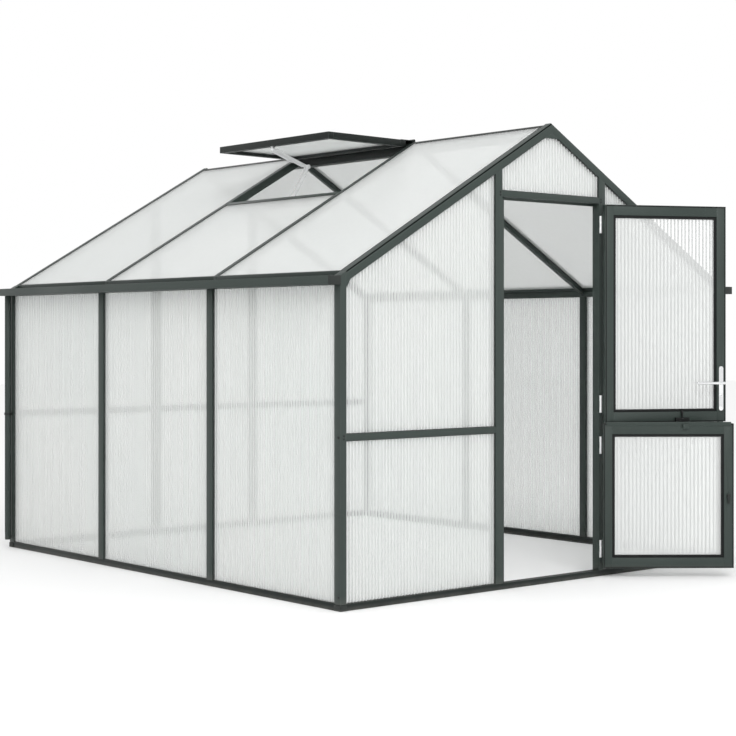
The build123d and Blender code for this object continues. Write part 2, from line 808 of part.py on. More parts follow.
def opener_sash_foot():
    """Bracket under the sash's free member, with the pin for the sash-side arm."""
    _, y = opener_planes()
    cheek_y = (y[1] + arm_gap, y[1] + arm_gap + arm_thickness)
    u, v = sash_foot
    under = sash_top - sash_depth
    wide = (u - arm_width / 2, u + arm_width / 2)
    cheek = along_sash(wide, (v - arm_width / 2, under), cheek_y)
    base = along_sash(wide, (under - foot_plate, under), (cheek_y[0], cheek_y[1] + arm_width))
    x, z = -u, hinge_axis_z + v
    return placed_sash(cheek + base + rod((x, y[0], z), (x, cheek_y[1], z), foot_pin))


# ---- Door leaves ----
def swing(piece, degrees):
    """Turns a piece about the door's hinge line; positive opens the leaf outwards."""
    place = Pos(hinge_x, hinge_y, 0)
    return place * Rotation(0, 0, degrees) * place.inverse() * piece


def leaf_members(z):
    """Two stiles and two rails of a closed leaf: free stile, hinge stile, lower rail, upper rail."""
    y = (leaf_y0, leaf_y1)
    free = tube((leaf_x0, leaf_x0 + stile), y, z, 2)
    hinged = tube((leaf_x1 - hinge_stile, leaf_x1), y, z, 2)
    between = (leaf_x0 + stile, leaf_x1 - hinge_stile)
    lower = tube(between, y, (z[0], z[0] + leaf_rail), 0)
    upper = tube(between, y, (z[1] - leaf_rail, z[1]), 0)
    return free, hinged, lower, upper


def leaf_sheet(z):
    """Twin-wall sheet inside a closed leaf."""
    x = (leaf_x0 + stile, leaf_x1 - hinge_stile)
    body = block(x, leaf_sheet_y, (z[0] + leaf_rail, z[1] - leaf_rail))
    void_y = (leaf_sheet_y[0] + skin, leaf_sheet_y[1] - skin)
    return body - block((x[0] + skin, x[1] - skin), void_y, (z[0], z[1]))


def bolt_box(size, reach, z, extra=0.0):
    """Bolt at the leaf's free edge: how far it stands out, its height and an extra all round."""
    long, thick, tall = size
    x = (leaf_x0 - reach - extra, leaf_x0 - reach + long + extra)
    y = (lock_y - thick / 2 - extra, lock_y + thick / 2 + extra)
    return block(x, y, (z - tall / 2 - extra, z + tall / 2 + extra))


def latch_bolt():
    """Sprung bolt, standing out of the free edge with a bevelled nose."""
    bolt = bolt_box(latch_size, latch_reach, lever_z)
    nose = [edge for edge in bolt.edges().filter_by(Axis.Z) if edge.center().X < leaf_x0]
    outer = min(nose, key=lambda edge: -edge.center().Y)
    return chamfer(outer, latch_reach - bolt_nose)


def deadbolt():
    """Square bolt, stored just inside the free edge."""
    return bolt_box(deadbolt_size, -profile_wall / 4, deadbolt_z)


def bolt_channels():
    """Room for both bolts through the stile's edge and the lock case."""
    latch = bolt_box((latch_size[0] + 2 * latch_reach, *latch_size[1:]), latch_reach, lever_z, bolt_clearance)
    dead_long = deadbolt_size[0] + deadbolt_throw + profile_wall
    dead = bolt_box((dead_long, *deadbolt_size[1:]), deadbolt_throw, deadbolt_z, bolt_clearance)
    return latch + dead


def across_leaf(z, radius, y):
    """Round bar square to the leaf, on the lock's centre line."""
    return rod((lock_x, y[0], z), (lock_x, y[1], z), radius)


def lock_holes(extra):
    """Holes for the spindle and the key barrel."""
    y = (leaf_y0 - far, leaf_y1 + far)
    return across_leaf(lever_z, spindle_radius + extra, y) + across_leaf(key_z, key_radius + extra, y)


def lock_case():
    """Lock body inside the free stile."""
    long, thick, tall = case_size
    x = (leaf_x0 + profile_wall, leaf_x0 + profile_wall + long)
    y = (lock_y - thick / 2, lock_y + thick / 2)
    case = block(x, y, (case_bottom, case_bottom + tall))
    return case - bolt_channels() - lock_holes(hole_gap)


def handle_plate(outside):
    """Long plate with rounded ends on one face of the free stile, with a rose for the lever."""
    face = leaf_y0 if outside else leaf_y1
    way = -1 if outside else 1
    y = sorted((face, face + way * plate_depth))
    half = plate_width / 2
    straight = (plate_z[0] + half, plate_z[1] - half)
    plate = block((lock_x - half, lock_x + half), y, straight)
    for z in straight:
        plate += across_leaf(z, half, y)
    plate += across_leaf(lever_z, rose_radius, sorted((face, face + way * rose_depth)))
    return plate - lock_holes(running)


def lever_handles():
    """Inner and outer lever on one spindle; both point towards the hinge line."""
    inside = leaf_y1 + lever_standoff
    outside = leaf_y0 - lever_standoff
    levers = across_leaf(lever_z, spindle_radius, (outside, inside))
    for y in (inside, outside):
        start = (lock_x, y, lever_z)
        end = (lock_x + lever_length, y, lever_z)
        levers += rod(start, end, lever_radius)
        levers += Pos(*start) * Sphere(lever_radius)
        levers += Pos(*end) * Sphere(lever_radius)
    return levers


def key_barrel():
    """Turning barrel of the key lock, from plate to plate, with a key slot in each end."""
    proud = plate_depth + key_proud
    y = (leaf_y0 - proud, leaf_y1 + proud)
    barrel = across_leaf(key_z, key_radius, y)
    for end in y:
        slot_y = (end - key_slot[2], end + key_slot[2])
        slot_x = (lock_x - key_slot[0] / 2, lock_x + key_slot[0] / 2)
        barrel -= block(slot_x, slot_y, (key_z - key_slot[1] / 2, key_z + key_slot[1] / 2))
    return barrel


def catch_y():
    """Depth range of the catch and its keep on the leaves' inner faces."""
    return (leaf_y1, leaf_y1 + catch_size[1])


def catch_bore(radius, z):
    """Upright bar on the catch's centre line."""
    y = leaf_y1 + catch_size[1] / 2
    return rod((catch_x, y, z[0]), (catch_x, y, z[1]), radius)


def catch_housing():
    """Block on the upper leaf's lower rail, bored for the bolt that joins the leaves."""
    bottom = upper_leaf_z[0] + catch_lift
    x = (catch_x - catch_size[0] / 2, catch_x + catch_size[0] / 2)
    body = block(x, catch_y(), (bottom, bottom + catch_size[2]))
    return body - catch_bore(catch_bolt + running, (0, ridge_z))


def leaf_bolt():
    """Bolt that drops from the upper leaf into the lower one, with a finger knob."""
    bottom = upper_leaf_z[0] + catch_lift / 2
    housing_top = upper_leaf_z[0] + catch_lift + catch_size[2]
    knob_bottom = housing_top + catch_travel + catch_knob_gap
    bolt = catch_bore(catch_bolt, (bottom, knob_bottom))
    return bolt + catch_bore(catch_knob, (knob_bottom, knob_bottom + catch_knob_height))


def catch_keep():
    """Bored block on the lower leaf's upper rail that takes the bolt."""
    top = lower_leaf_z[1] - keep_drop
    x = (catch_x - keep_size[0] / 2, catch_x + keep_size[0] / 2)
    y = (leaf_y1, leaf_y1 + keep_size[1])
    body = block(x, y, (top - keep_size[2], top))
    return body - catch_bore(catch_bolt + keep_clearance, (0, ridge_z))


def weather_strip():
    """Strip along the lower leaf's top edge, on its outer face."""
    y = (leaf_y0 - strip_depth, leaf_y0)
    x = (leaf_x0 + stile / 2, leaf_x1)
    return block(x, y, (lower_leaf_z[1] - strip_height, lower_leaf_z[1]))


def turn_button():
    """Turn button on the lower leaf's free stile, its tongue hanging down as stored."""
    y0 = leaf_y1 + button_gap
    x = lock_x
    pin = rod((x, leaf_y1 - 3 * profile_wall, button_z), (x, y0, button_z), button_pin)
    body = rod((x, y0, button_z), (x, y0 + button_depth, button_z), button_radius)
    tongue_y = (y0 + button_depth, y0 + button_depth + tongue[2])
    tongue_x = (x - tongue[1] / 2, x + tongue[1] / 2)
    top = button_z + tongue_tail
    return pin + body + block(tongue_x, tongue_y, (top - tongue[0], top))


def closing_jamb():
    """Strip on the left door post that the free edges close against, with bolt pockets."""
    x = (-door_half, leaf_x0 - jamb_gap)
    z = (rail_height, lintel_bottom + lintel_stop)
    jamb = block(x, (front_y + jamb_setback, front_y + post_depth), z)
    lip_y = (leaf_y1 + jamb_lip_gap, front_y + post_depth)
    jamb += block((x[1], x[1] + jamb_lip), lip_y, (rail_height, lintel_bottom))
    pockets = ((latch_size, latch_pocket, lever_z), (deadbolt_size, deadbolt_pocket, deadbolt_z))
    for size, deep, height in pockets:
        half_y = size[1] / 2 + pocket_clearance
        half_z = size[2] / 2 + pocket_clearance
        pocket_x = (x[1] - deep, x[1] + jamb_gap / 2)
        jamb -= block(pocket_x, (lock_y - half_y, lock_y + half_y), (height - half_z, height + half_z))
    return jamb


# ---- Hinges ----
def knuckle(centre, share):
    """One of the three knuckles of a hinge: -1 lower, 0 middle, 1 upper."""
    third = hinge_height / 3
    low = centre + (share - 0.5) * third
    high = low + third
    if share == 0:
        low += knuckle_gap
        high -= knuckle_gap
    return rod((hinge_x, hinge_y, low), (hinge_x, hinge_y, high), knuckle_radius), (low, high)


def post_wing(centre):
    """Fixed half of a hinge: wing on the post's reveal and the middle knuckle."""
    barrel, z = knuckle(centre, 0)
    half = hinge_height / 2
    x = (door_half - wing_thickness, door_half)
    wing = block(x, (front_y, hinge_y + wing_width), (centre - half, centre + half))
    neck = block(x, (hinge_y, front_y), z)
    bore = rod((hinge_x, hinge_y, centre - half), (hinge_x, hinge_y, centre + half), hinge_pin + running)
    return barrel + wing + neck - bore


def leaf_wing(centre):
    """Moving half of a hinge: wing on the leaf's edge, two knuckles and the pin."""
    half = hinge_height / 2
    x = (leaf_x1, leaf_x1 + wing_thickness)
    half_wing = block(x, (leaf_y0, hinge_y + wing_width), (centre - half, centre + half))
    for share in (-1, 1):
        barrel, z = knuckle(centre, share)
        web_y = (hinge_y - wing_thickness / 2, hinge_y + wing_thickness / 2)
        half_wing += barrel + block((leaf_x1, hinge_x), web_y, z)
        half_wing += block(x, (hinge_y, leaf_y0), z)
    return half_wing + rod((hinge_x, hinge_y, centre - half), (hinge_x, hinge_y, centre + half), hinge_pin)


# ---- Nodes ----
def frame_nodes():
    """Everything that stands still."""
    nodes = {
        "base_rail_front": base_rail_gable((front_y, front_y + rail_depth)),
        "base_rail_back": base_rail_gable((back_y - rail_depth, back_y)),
        "door_lintel": door_lintel(),
        "vent_trimmer": vent_trimmer(),
        "ridge_beam": ridge_beam(),
        "joint_plates": joint_plates(),
        "glazing_front": glazing_front(),
        "glazing_back": glazing_back(),
        "closing_jamb": closing_jamb(),
        "opener_frame_foot": opener_frame_foot(),
        "back_posts": group(gable_post(-1, 1), gable_post(1, 1)),
    }
    nodes["hinge_post_wings"] = group(*[post_wing(z) for z in hinge_centres_upper + hinge_centres_lower])
    caps = []
    feet = []
    for name, side in sides.items():
        nodes[f"base_rail_{name}"] = base_rail_side(side)
        nodes[f"door_post_{name}"] = gable_post(side, -1)
        nodes[f"side_posts_{name}"] = group(*[side_post(side, n) for n in range(1, bays)])
        nodes[f"roof_bars_{name}"] = group(*[roof_bar(side, n) for n in range(1, bays)])
        nodes[f"gutter_{name}"] = gutter(side)
        nodes[f"glazing_{name}"] = glazing_wall(side)
        nodes[f"glazing_roof_{name}"] = glazing_roof(side)
        for end_name, end in (("front", -1), ("back", 1)):
            nodes[f"corner_post_{end_name}_{name}"] = corner_post(side, end)
            caps.append(gutter_end_cap(side, end))
            feet.append(corner_foot(side, end))
    nodes["gutter_end_caps"] = group(*caps)
    nodes["corner_feet"] = group(*feet)
    nodes["downpipes"] = group(downpipe(-1), downpipe(1))
    nodes["pipe_clips"] = group(pipe_clip(-1), pipe_clip(1))
    nodes["rafters_front"] = group(rafter(-1, -1), rafter(1, -1))
    nodes["rafters_back"] = group(rafter(-1, 1), rafter(1, 1))
    front = gable_rail_y(-1)
    back = gable_rail_y(1)
    nodes["mid_rails_front"] = group(
        mid_rail((-wall_inner, -door_outer), front), mid_rail((door_outer, wall_inner), front)
    )
    nodes["mid_rails_back"] = group(
        mid_rail((-wall_inner, -door_outer), back),
        mid_rail((-door_half, door_half), back),
        mid_rail((door_outer, wall_inner), back),
    )
    return nodes


def vent_nodes():
    """Sash, its sheet and the opener's arms."""
    return {
        "vent_sash": vent_sash(),
        "vent_sheet": vent_sheet(),
        "opener_sash_foot": opener_sash_foot(),
        "opener_frame_arm": frame_side_arm(),
        "opener_sash_arm": sash_side_arm(),
    }


def upper_leaf_nodes():
    """Upper leaf as closed, with its lock, handles and catch."""
    free, hinged, lower, upper = leaf_members(upper_leaf_z)
    free = free - bolt_channels() - lock_holes(hole_gap)
    return {
        "upper_leaf_frame": group(free, hinged, lower, upper),
        "upper_leaf_sheet": leaf_sheet(upper_leaf_z),
        "upper_leaf_hinges": group(*[leaf_wing(z) for z in hinge_centres_upper]),
        "lock_case": lock_case(),
        "handle_plates": group(handle_plate(False), handle_plate(True)),
        "lever_handles": lever_handles(),
        "latch_bolt": latch_bolt(),
        "deadbolt": deadbolt(),
        "key_barrel": key_barrel(),
        "catch_housing": catch_housing(),
        "leaf_bolt": leaf_bolt(),
    }


def lower_leaf_nodes():
    """Lower leaf as closed, with its strip, keep and turn button."""
    free, hinged, lower, upper = leaf_members(lower_leaf_z)
    pin_start = (lock_x, leaf_y1 - leaf_depth / 2, button_z)
    pin_hole = rod(pin_start, (lock_x, leaf_y1 + far, button_z), button_pin + running)
    return {
        "lower_leaf_frame": group(free - pin_hole, hinged, lower, upper),
        "lower_leaf_sheet": leaf_sheet(lower_leaf_z),
        "lower_leaf_hinges": group(*[leaf_wing(z) for z in hinge_centres_lower]),
        "weather_strip": weather_strip(),
        "catch_keep": catch_keep(),
        "turn_button": turn_button(),
    }


def main():
    """Writes one file for each node."""
    os.makedirs("parts", exist_ok=True)
    nodes = {**frame_nodes(), **vent_nodes()}
    for name, piece in upper_leaf_nodes().items():
        nodes[name] = swing(piece, upper_open_deg)
    for name, piece in lower_leaf_nodes().items():
        nodes[name] = swing(piece, lower_open_deg)
    for name, piece in nodes.items():
        export_step(piece, f"parts/{name}.step")
    print(len(nodes), "nodes")


if __name__ == "__main__":
    main()
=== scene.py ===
"""Looks of a walk-in greenhouse with twin-wall sheets, a two-part door and a roof vent."""

import json
import logging
import math
from contextlib import contextmanager
from dataclasses import dataclass, field
from enum import Enum
from typing import Callable, Iterator, Sequence

import bmesh
import bpy
from mathutils import Matrix, Vector

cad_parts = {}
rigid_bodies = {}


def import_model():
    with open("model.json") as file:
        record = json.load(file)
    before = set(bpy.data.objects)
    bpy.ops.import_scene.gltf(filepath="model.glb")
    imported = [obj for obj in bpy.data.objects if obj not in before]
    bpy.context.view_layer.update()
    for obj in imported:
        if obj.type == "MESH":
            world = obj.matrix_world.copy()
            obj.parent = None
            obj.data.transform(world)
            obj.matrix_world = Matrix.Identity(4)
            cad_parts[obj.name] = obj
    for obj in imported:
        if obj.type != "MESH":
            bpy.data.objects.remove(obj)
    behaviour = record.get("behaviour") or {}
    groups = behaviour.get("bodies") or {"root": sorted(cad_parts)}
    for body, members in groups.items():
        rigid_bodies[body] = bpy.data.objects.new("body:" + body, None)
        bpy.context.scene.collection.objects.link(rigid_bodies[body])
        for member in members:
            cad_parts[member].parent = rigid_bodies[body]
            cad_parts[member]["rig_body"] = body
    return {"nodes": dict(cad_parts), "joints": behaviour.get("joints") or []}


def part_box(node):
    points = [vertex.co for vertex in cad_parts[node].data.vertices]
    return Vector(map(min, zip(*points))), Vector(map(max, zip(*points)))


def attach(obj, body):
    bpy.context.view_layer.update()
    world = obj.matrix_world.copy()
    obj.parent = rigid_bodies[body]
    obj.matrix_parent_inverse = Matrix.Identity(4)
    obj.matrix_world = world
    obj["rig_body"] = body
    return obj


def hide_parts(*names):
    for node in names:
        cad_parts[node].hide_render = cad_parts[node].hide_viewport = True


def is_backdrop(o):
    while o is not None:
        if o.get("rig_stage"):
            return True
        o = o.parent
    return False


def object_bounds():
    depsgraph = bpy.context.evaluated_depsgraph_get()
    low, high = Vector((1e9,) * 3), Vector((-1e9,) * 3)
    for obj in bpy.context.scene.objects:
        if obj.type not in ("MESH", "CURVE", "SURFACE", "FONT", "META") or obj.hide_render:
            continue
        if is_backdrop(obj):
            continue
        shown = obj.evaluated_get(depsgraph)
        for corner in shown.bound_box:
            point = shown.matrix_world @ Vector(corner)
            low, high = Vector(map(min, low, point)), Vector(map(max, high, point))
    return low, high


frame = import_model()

log = logging.getLogger("greenhouse")
Test = Callable[[bmesh.types.BMFace], bool]

LOOKS_ALONG = 0.95  # least cosine for a face that looks one way
SQUARE_ON = 0.999  # the same for a face square to an axis
ONE_FACE = math.radians(1)  # triangles turned less than this belong to one face


class Slot(Enum):
    """Material slots of the record."""

    PAINT = "frame_paint"
    SHEET = "twin_wall"
    STEEL = "steel"
    CHROME = "chrome"
    MILL = "bare_aluminium"
    RUBBER = "rubber"
    PLASTIC = "black_plastic"


class Run(Enum):
    """Way that the flutes of a sheet run, in the sheet's own frame."""

    UPRIGHT = 2
    DOWN_SLOPE = 0


class Side(Enum):
    """Left and right of the door, as the sign of x."""

    LEFT = -1
    RIGHT = 1


# ---- Measured places ----
@dataclass(frozen=True)
class Solid:
    """One closed solid of a CAD node: its corners and its faces."""

    points: tuple[Vector, ...]
    faces: tuple[tuple[int, ...], ...]

    @property
    def low(self) -> Vector:
        """Lowest corner of its box."""
        return Vector([min(p[i] for p in self.points) for i in range(3)])

    @property
    def high(self) -> Vector:
        """Highest corner of its box."""
        return Vector([max(p[i] for p in self.points) for i in range(3)])

    @property
    def middle(self) -> Vector:
        """Middle of its box."""
        return (self.low + self.high) / 2


@dataclass
class Layout:
    """Frames that the parts lie square in, measured on the CAD nodes and the record's joints."""

    joints: dict[str, dict] = field(default_factory=lambda: {j["name"]: j for j in frame["joints"]})
    merge: float = 1e-5

    @property
    def pitch(self) -> float:
        """Slope of the roof, from the tops of the rafters and of the corner post."""
        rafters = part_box("rafters_front")[1]
        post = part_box("corner_post_front_right")[1]
        return math.atan2(rafters.z - post.z, rafters.x)

    def slope(self, side: Side) -> Matrix:
        """Frame of one roof slope: x across it, y along the ridge, z out of it."""
        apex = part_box("rafters_front")[1].z
        return Matrix.Translation((0, 0, apex)) @ Matrix.Rotation(side.value * self.pitch, 4, "Y")

    def opened(self, joint: str) -> Matrix:
        """Turn that takes a closed body to its stored place.

        Args:
            joint: Hinge whose lower limit is the closed place.

        Returns:
            The turn about the hinge's axis.
        """
        hinge = self.joints[joint]
        at = Matrix.Translation(hinge["pos_m"])
        low = math.radians(min(hinge["range_deg"])) if "range_deg" in hinge else min(hinge["range"])
        return at @ Matrix.Rotation(-low, 4, Vector(hinge["axis"])) @ at.inverted()

    def sash(self) -> Matrix:
        """Frame of the open vent, which lies in the left slope when it is closed."""
        return self.opened("vent_hinge") @ self.slope(Side.LEFT)

    def solids(self, node: str, place: Matrix = Matrix.Identity(4)) -> list[Solid]:
        """Closed solids of a CAD node, each with its own corners.

        Args:
            node: The CAD node.
            place: Frame that the corners are given in.

        Returns:
            The solids, from the lowest to the highest x, then y, then z.
        """
        shape = bmesh.new()
        shape.from_mesh(frame["nodes"][node].data)
        bmesh.ops.remove_doubles(shape, verts=shape.verts, dist=self.merge)
        back = place.inverted()
        found, seen = [], set()
        for first in shape.faces:
            if first in seen:
                continue
            seen.add(first)
            group, queue = [], [first]
            while queue:
                face = queue.pop()
                group.append(face)
                for edge in face.edges:
                    others = edge.link_faces if len(edge.link_faces) == 2 else ()
                    fresh = [other for other in others if other not in seen]
                    seen.update(fresh)
                    queue.extend(fresh)
            corners = list(dict.fromkeys(corner for face in group for corner in face.verts))
            number = {corner: i for i, corner in enumerate(corners)}
            points = tuple(back @ corner.co for corner in corners)
            found.append(Solid(points, tuple(tuple(number[c] for c in face.verts) for face in group)))
        shape.free()
        return sorted(found, key=lambda solid: tuple(round(c, 3) for c in solid.low))


# ---- Bench: modelling by operators ----
def select_only(*pieces: bpy.types.Object) -> None:
    """Select these pieces and nothing else, the first one active."""
    bpy.ops.object.select_all(action="DESELECT")
    for piece in pieces:
        piece.select_set(True)
    bpy.context.view_layer.objects.active = pieces[0]


@contextmanager
def editing(piece: bpy.types.Object, mode: str = "FACE") -> Iterator[None]:
    """Edit mode on one piece, with nothing selected at the start.

    Args:
        piece: The piece to edit.
        mode: VERT, EDGE or FACE.
    """
    select_only(piece)
    bpy.ops.object.mode_set(mode="EDIT")
    bpy.ops.mesh.select_mode(type=mode)
    bpy.ops.mesh.select_all(action="DESELECT")
    yield
    bpy.ops.object.mode_set(mode="OBJECT")


def pick(piece: bpy.types.Object, test: Test) -> None:
    """Select the faces that pass a test, in edit mode."""
    shape = bmesh.from_edit_mesh(piece.data)
    for face in shape.faces:
        face.select_set(test(face))
    bmesh.update_edit_mesh(piece.data)


def facing(*way: float) -> Test:
    """Test for faces that look one way."""
    wanted = Vector(way).normalized()
    return lambda face: face.normal.dot(wanted) > LOOKS_ALONG


def block(name: str, low: Sequence[float], high: Sequence[float]) -> bpy.types.Object:
    """Box between two corners.

    Args:
        name: Name of the new piece.
        low: Lowest corner.
        high: Highest corner.

    Returns:
        The piece, at the origin with its place in its mesh.
    """
    low, high = Vector(low), Vector(high)
    bpy.ops.object.select_all(action="DESELECT")
    bpy.ops.mesh.primitive_cube_add(size=1, location=(low + high) / 2)
    piece = bpy.context.object
    piece.name = name
    piece.scale = high - low
    bpy.ops.object.transform_apply()
    return piece


def rod(
    name: str, start: Sequence[float], end: Sequence[float], radius: float, sides: int = 24
) -> bpy.types.Object:
    """Round bar between two points.

    Args:
        name: Name of the new piece.
        start: Middle of its first end.
        end: Middle of its other end.
        radius: Its radius.
        sides: Faces round it.

    Returns:
        The piece, at the origin with its place in its mesh.
    """
    start, end = Vector(start), Vector(end)
    along = end - start
    bpy.ops.object.select_all(action="DESELECT")
    bpy.ops.mesh.primitive_cylinder_add(
        vertices=sides, radius=radius, depth=along.length, location=(start + end) / 2,
        rotation=along.to_track_quat("Z", "Y").to_euler(),
    )
    piece = bpy.context.object
    piece.name = name
    bpy.ops.object.transform_apply()
    return piece


def apply_modifier(piece: bpy.types.Object, kind: str, **settings: object) -> None:
    """Add a modifier with these settings and apply it."""
    select_only(piece)
    modifier = piece.modifiers.new(kind.lower(), kind)
    for key, value in settings.items():
        setattr(modifier, key, value)
    bpy.ops.object.modifier_apply(modifier=modifier.name)


def soften(
    piece: bpy.types.Object, width: float = 0.0008, segments: int = 2, angle: float = 35.0,
    edge: int = -1,
) -> None:
    """Round the sharp edges and smooth the round faces.

    Args:
        piece: The piece.
        width: Width of the rounding.
        segments: Facets across it.
        angle: Edges sharper than this many degrees are rounded.
        edge: Material number of the rounding, or -1 for the faces' own.
    """
    apply_modifier(
        piece, "BEVEL", width=width, segments=segments, limit_method="ANGLE",
        angle_limit=math.radians(angle), use_clamp_overlap=True, material=edge,
    )
    smooth(piece)


def smooth(piece: bpy.types.Object, angle: float = 30.0) -> None:
    """Shade a piece smooth across edges flatter than this angle."""
    select_only(piece)
    bpy.ops.object.shade_smooth_by_angle(angle=math.radians(angle))


def join(name: str, pieces: Sequence[bpy.types.Object]) -> bpy.types.Object:
    """Several pieces as one, named afresh."""
    select_only(*pieces)
    if len(pieces) > 1:
        bpy.ops.object.join()
    whole = bpy.context.view_layer.objects.active
    whole.name = name
    whole.data.name = name
    return whole


def moved(piece: bpy.types.Object, place: Matrix) -> bpy.types.Object:
    """The piece taken to another frame, with its place back in its mesh."""
    piece.matrix_world = place @ piece.matrix_world
    select_only(piece)
    bpy.ops.object.transform_apply()
    return piece


def twin(piece: bpy.types.Object, place: Matrix = Matrix.Identity(4)) -> bpy.types.Object:
    """A copy of a piece with its own mesh, in another place."""
    select_only(piece)
    bpy.ops.object.duplicate(linked=False)
    return moved(bpy.context.view_layer.objects.active, place)


def scrap(*pieces: bpy.types.Object) -> None:
    """Remove patterns that were only copied from."""
    for piece in pieces:
        bpy.data.objects.remove(piece)


def cut(piece: bpy.types.Object, point: Vector, normal: Vector) -> None:
    """Cut off what lies beyond a plane and close the cut."""
    with editing(piece):
        bpy.ops.mesh.select_all(action="SELECT")
        bpy.ops.mesh.bisect(plane_co=point, plane_no=normal, use_fill=True, clear_outer=True)


def from_solid(name: str, solid: Solid) -> bpy.types.Object:
    """Piece with a CAD solid's shape, its flat triangles dissolved into whole faces."""
    mesh = bpy.data.meshes.new(name)
    mesh.from_pydata(solid.points, [], solid.faces)
    piece = bpy.data.objects.new(name, mesh)
    bpy.context.scene.collection.objects.link(piece)
    with editing(piece):
        bpy.ops.mesh.select_all(action="SELECT")
        bpy.ops.mesh.dissolve_limited(angle_limit=ONE_FACE)
    return piece


def hull(name: str, solid: Solid) -> bpy.types.Object:
    """Plain closed block round a hollow solid."""
    mesh = bpy.data.meshes.new(name)
    mesh.from_pydata(solid.points, [], [])
    piece = bpy.data.objects.new(name, mesh)
    bpy.context.scene.collection.objects.link(piece)
    with editing(piece, "VERT"):
        bpy.ops.mesh.select_all(action="SELECT")
        bpy.ops.mesh.convex_hull()
        bpy.ops.mesh.dissolve_limited(angle_limit=ONE_FACE)
        bpy.ops.mesh.normals_make_consistent(inside=False)
    return piece


def node_piece(layout: Layout, node: str, name: str) -> bpy.types.Object:
    """All the solids of a CAD node as one piece."""
    return join(name, [from_solid(node, solid) for solid in layout.solids(node)])


def span(solids: Sequence[Solid]) -> tuple[Vector, Vector]:
    """Lowest and highest corner round several solids."""
    low = Vector([min(solid.low[axis] for solid in solids) for axis in range(3)])
    high = Vector([max(solid.high[axis] for solid in solids) for axis in range(3)])
    return low, high


def strip_round(
    name: str, slab: bpy.types.Object, way: Vector, width: float, depth: float
) -> bpy.types.Object:
    """Raised strip round one face of a slab.

    Args:
        name: Name of the new piece.
        slab: The slab, which stays as it is.
        way: Way that the face looks.
        width: Strip's width on the face.
        depth: How far it stands off the face.

    Returns:
        The strip.
    """
    strip = twin(slab)
    strip.name = name
    with editing(strip):
        pick(strip, lambda face: face.normal.dot(way) < LOOKS_ALONG)
        bpy.ops.mesh.delete(type="FACE")
        bpy.ops.mesh.select_all(action="SELECT")
        bpy.ops.mesh.inset(thickness=width, use_boundary=True)
        bpy.ops.mesh.delete(type="FACE")
        bpy.ops.mesh.select_all(action="SELECT")
        bpy.ops.mesh.extrude_region_move(TRANSFORM_OT_translate={"value": way * depth})
        bpy.ops.mesh.select_all(action="SELECT")
        bpy.ops.mesh.normals_make_consistent(inside=False)
    soften(strip, depth * 0.35, angle=50.0)
    return strip


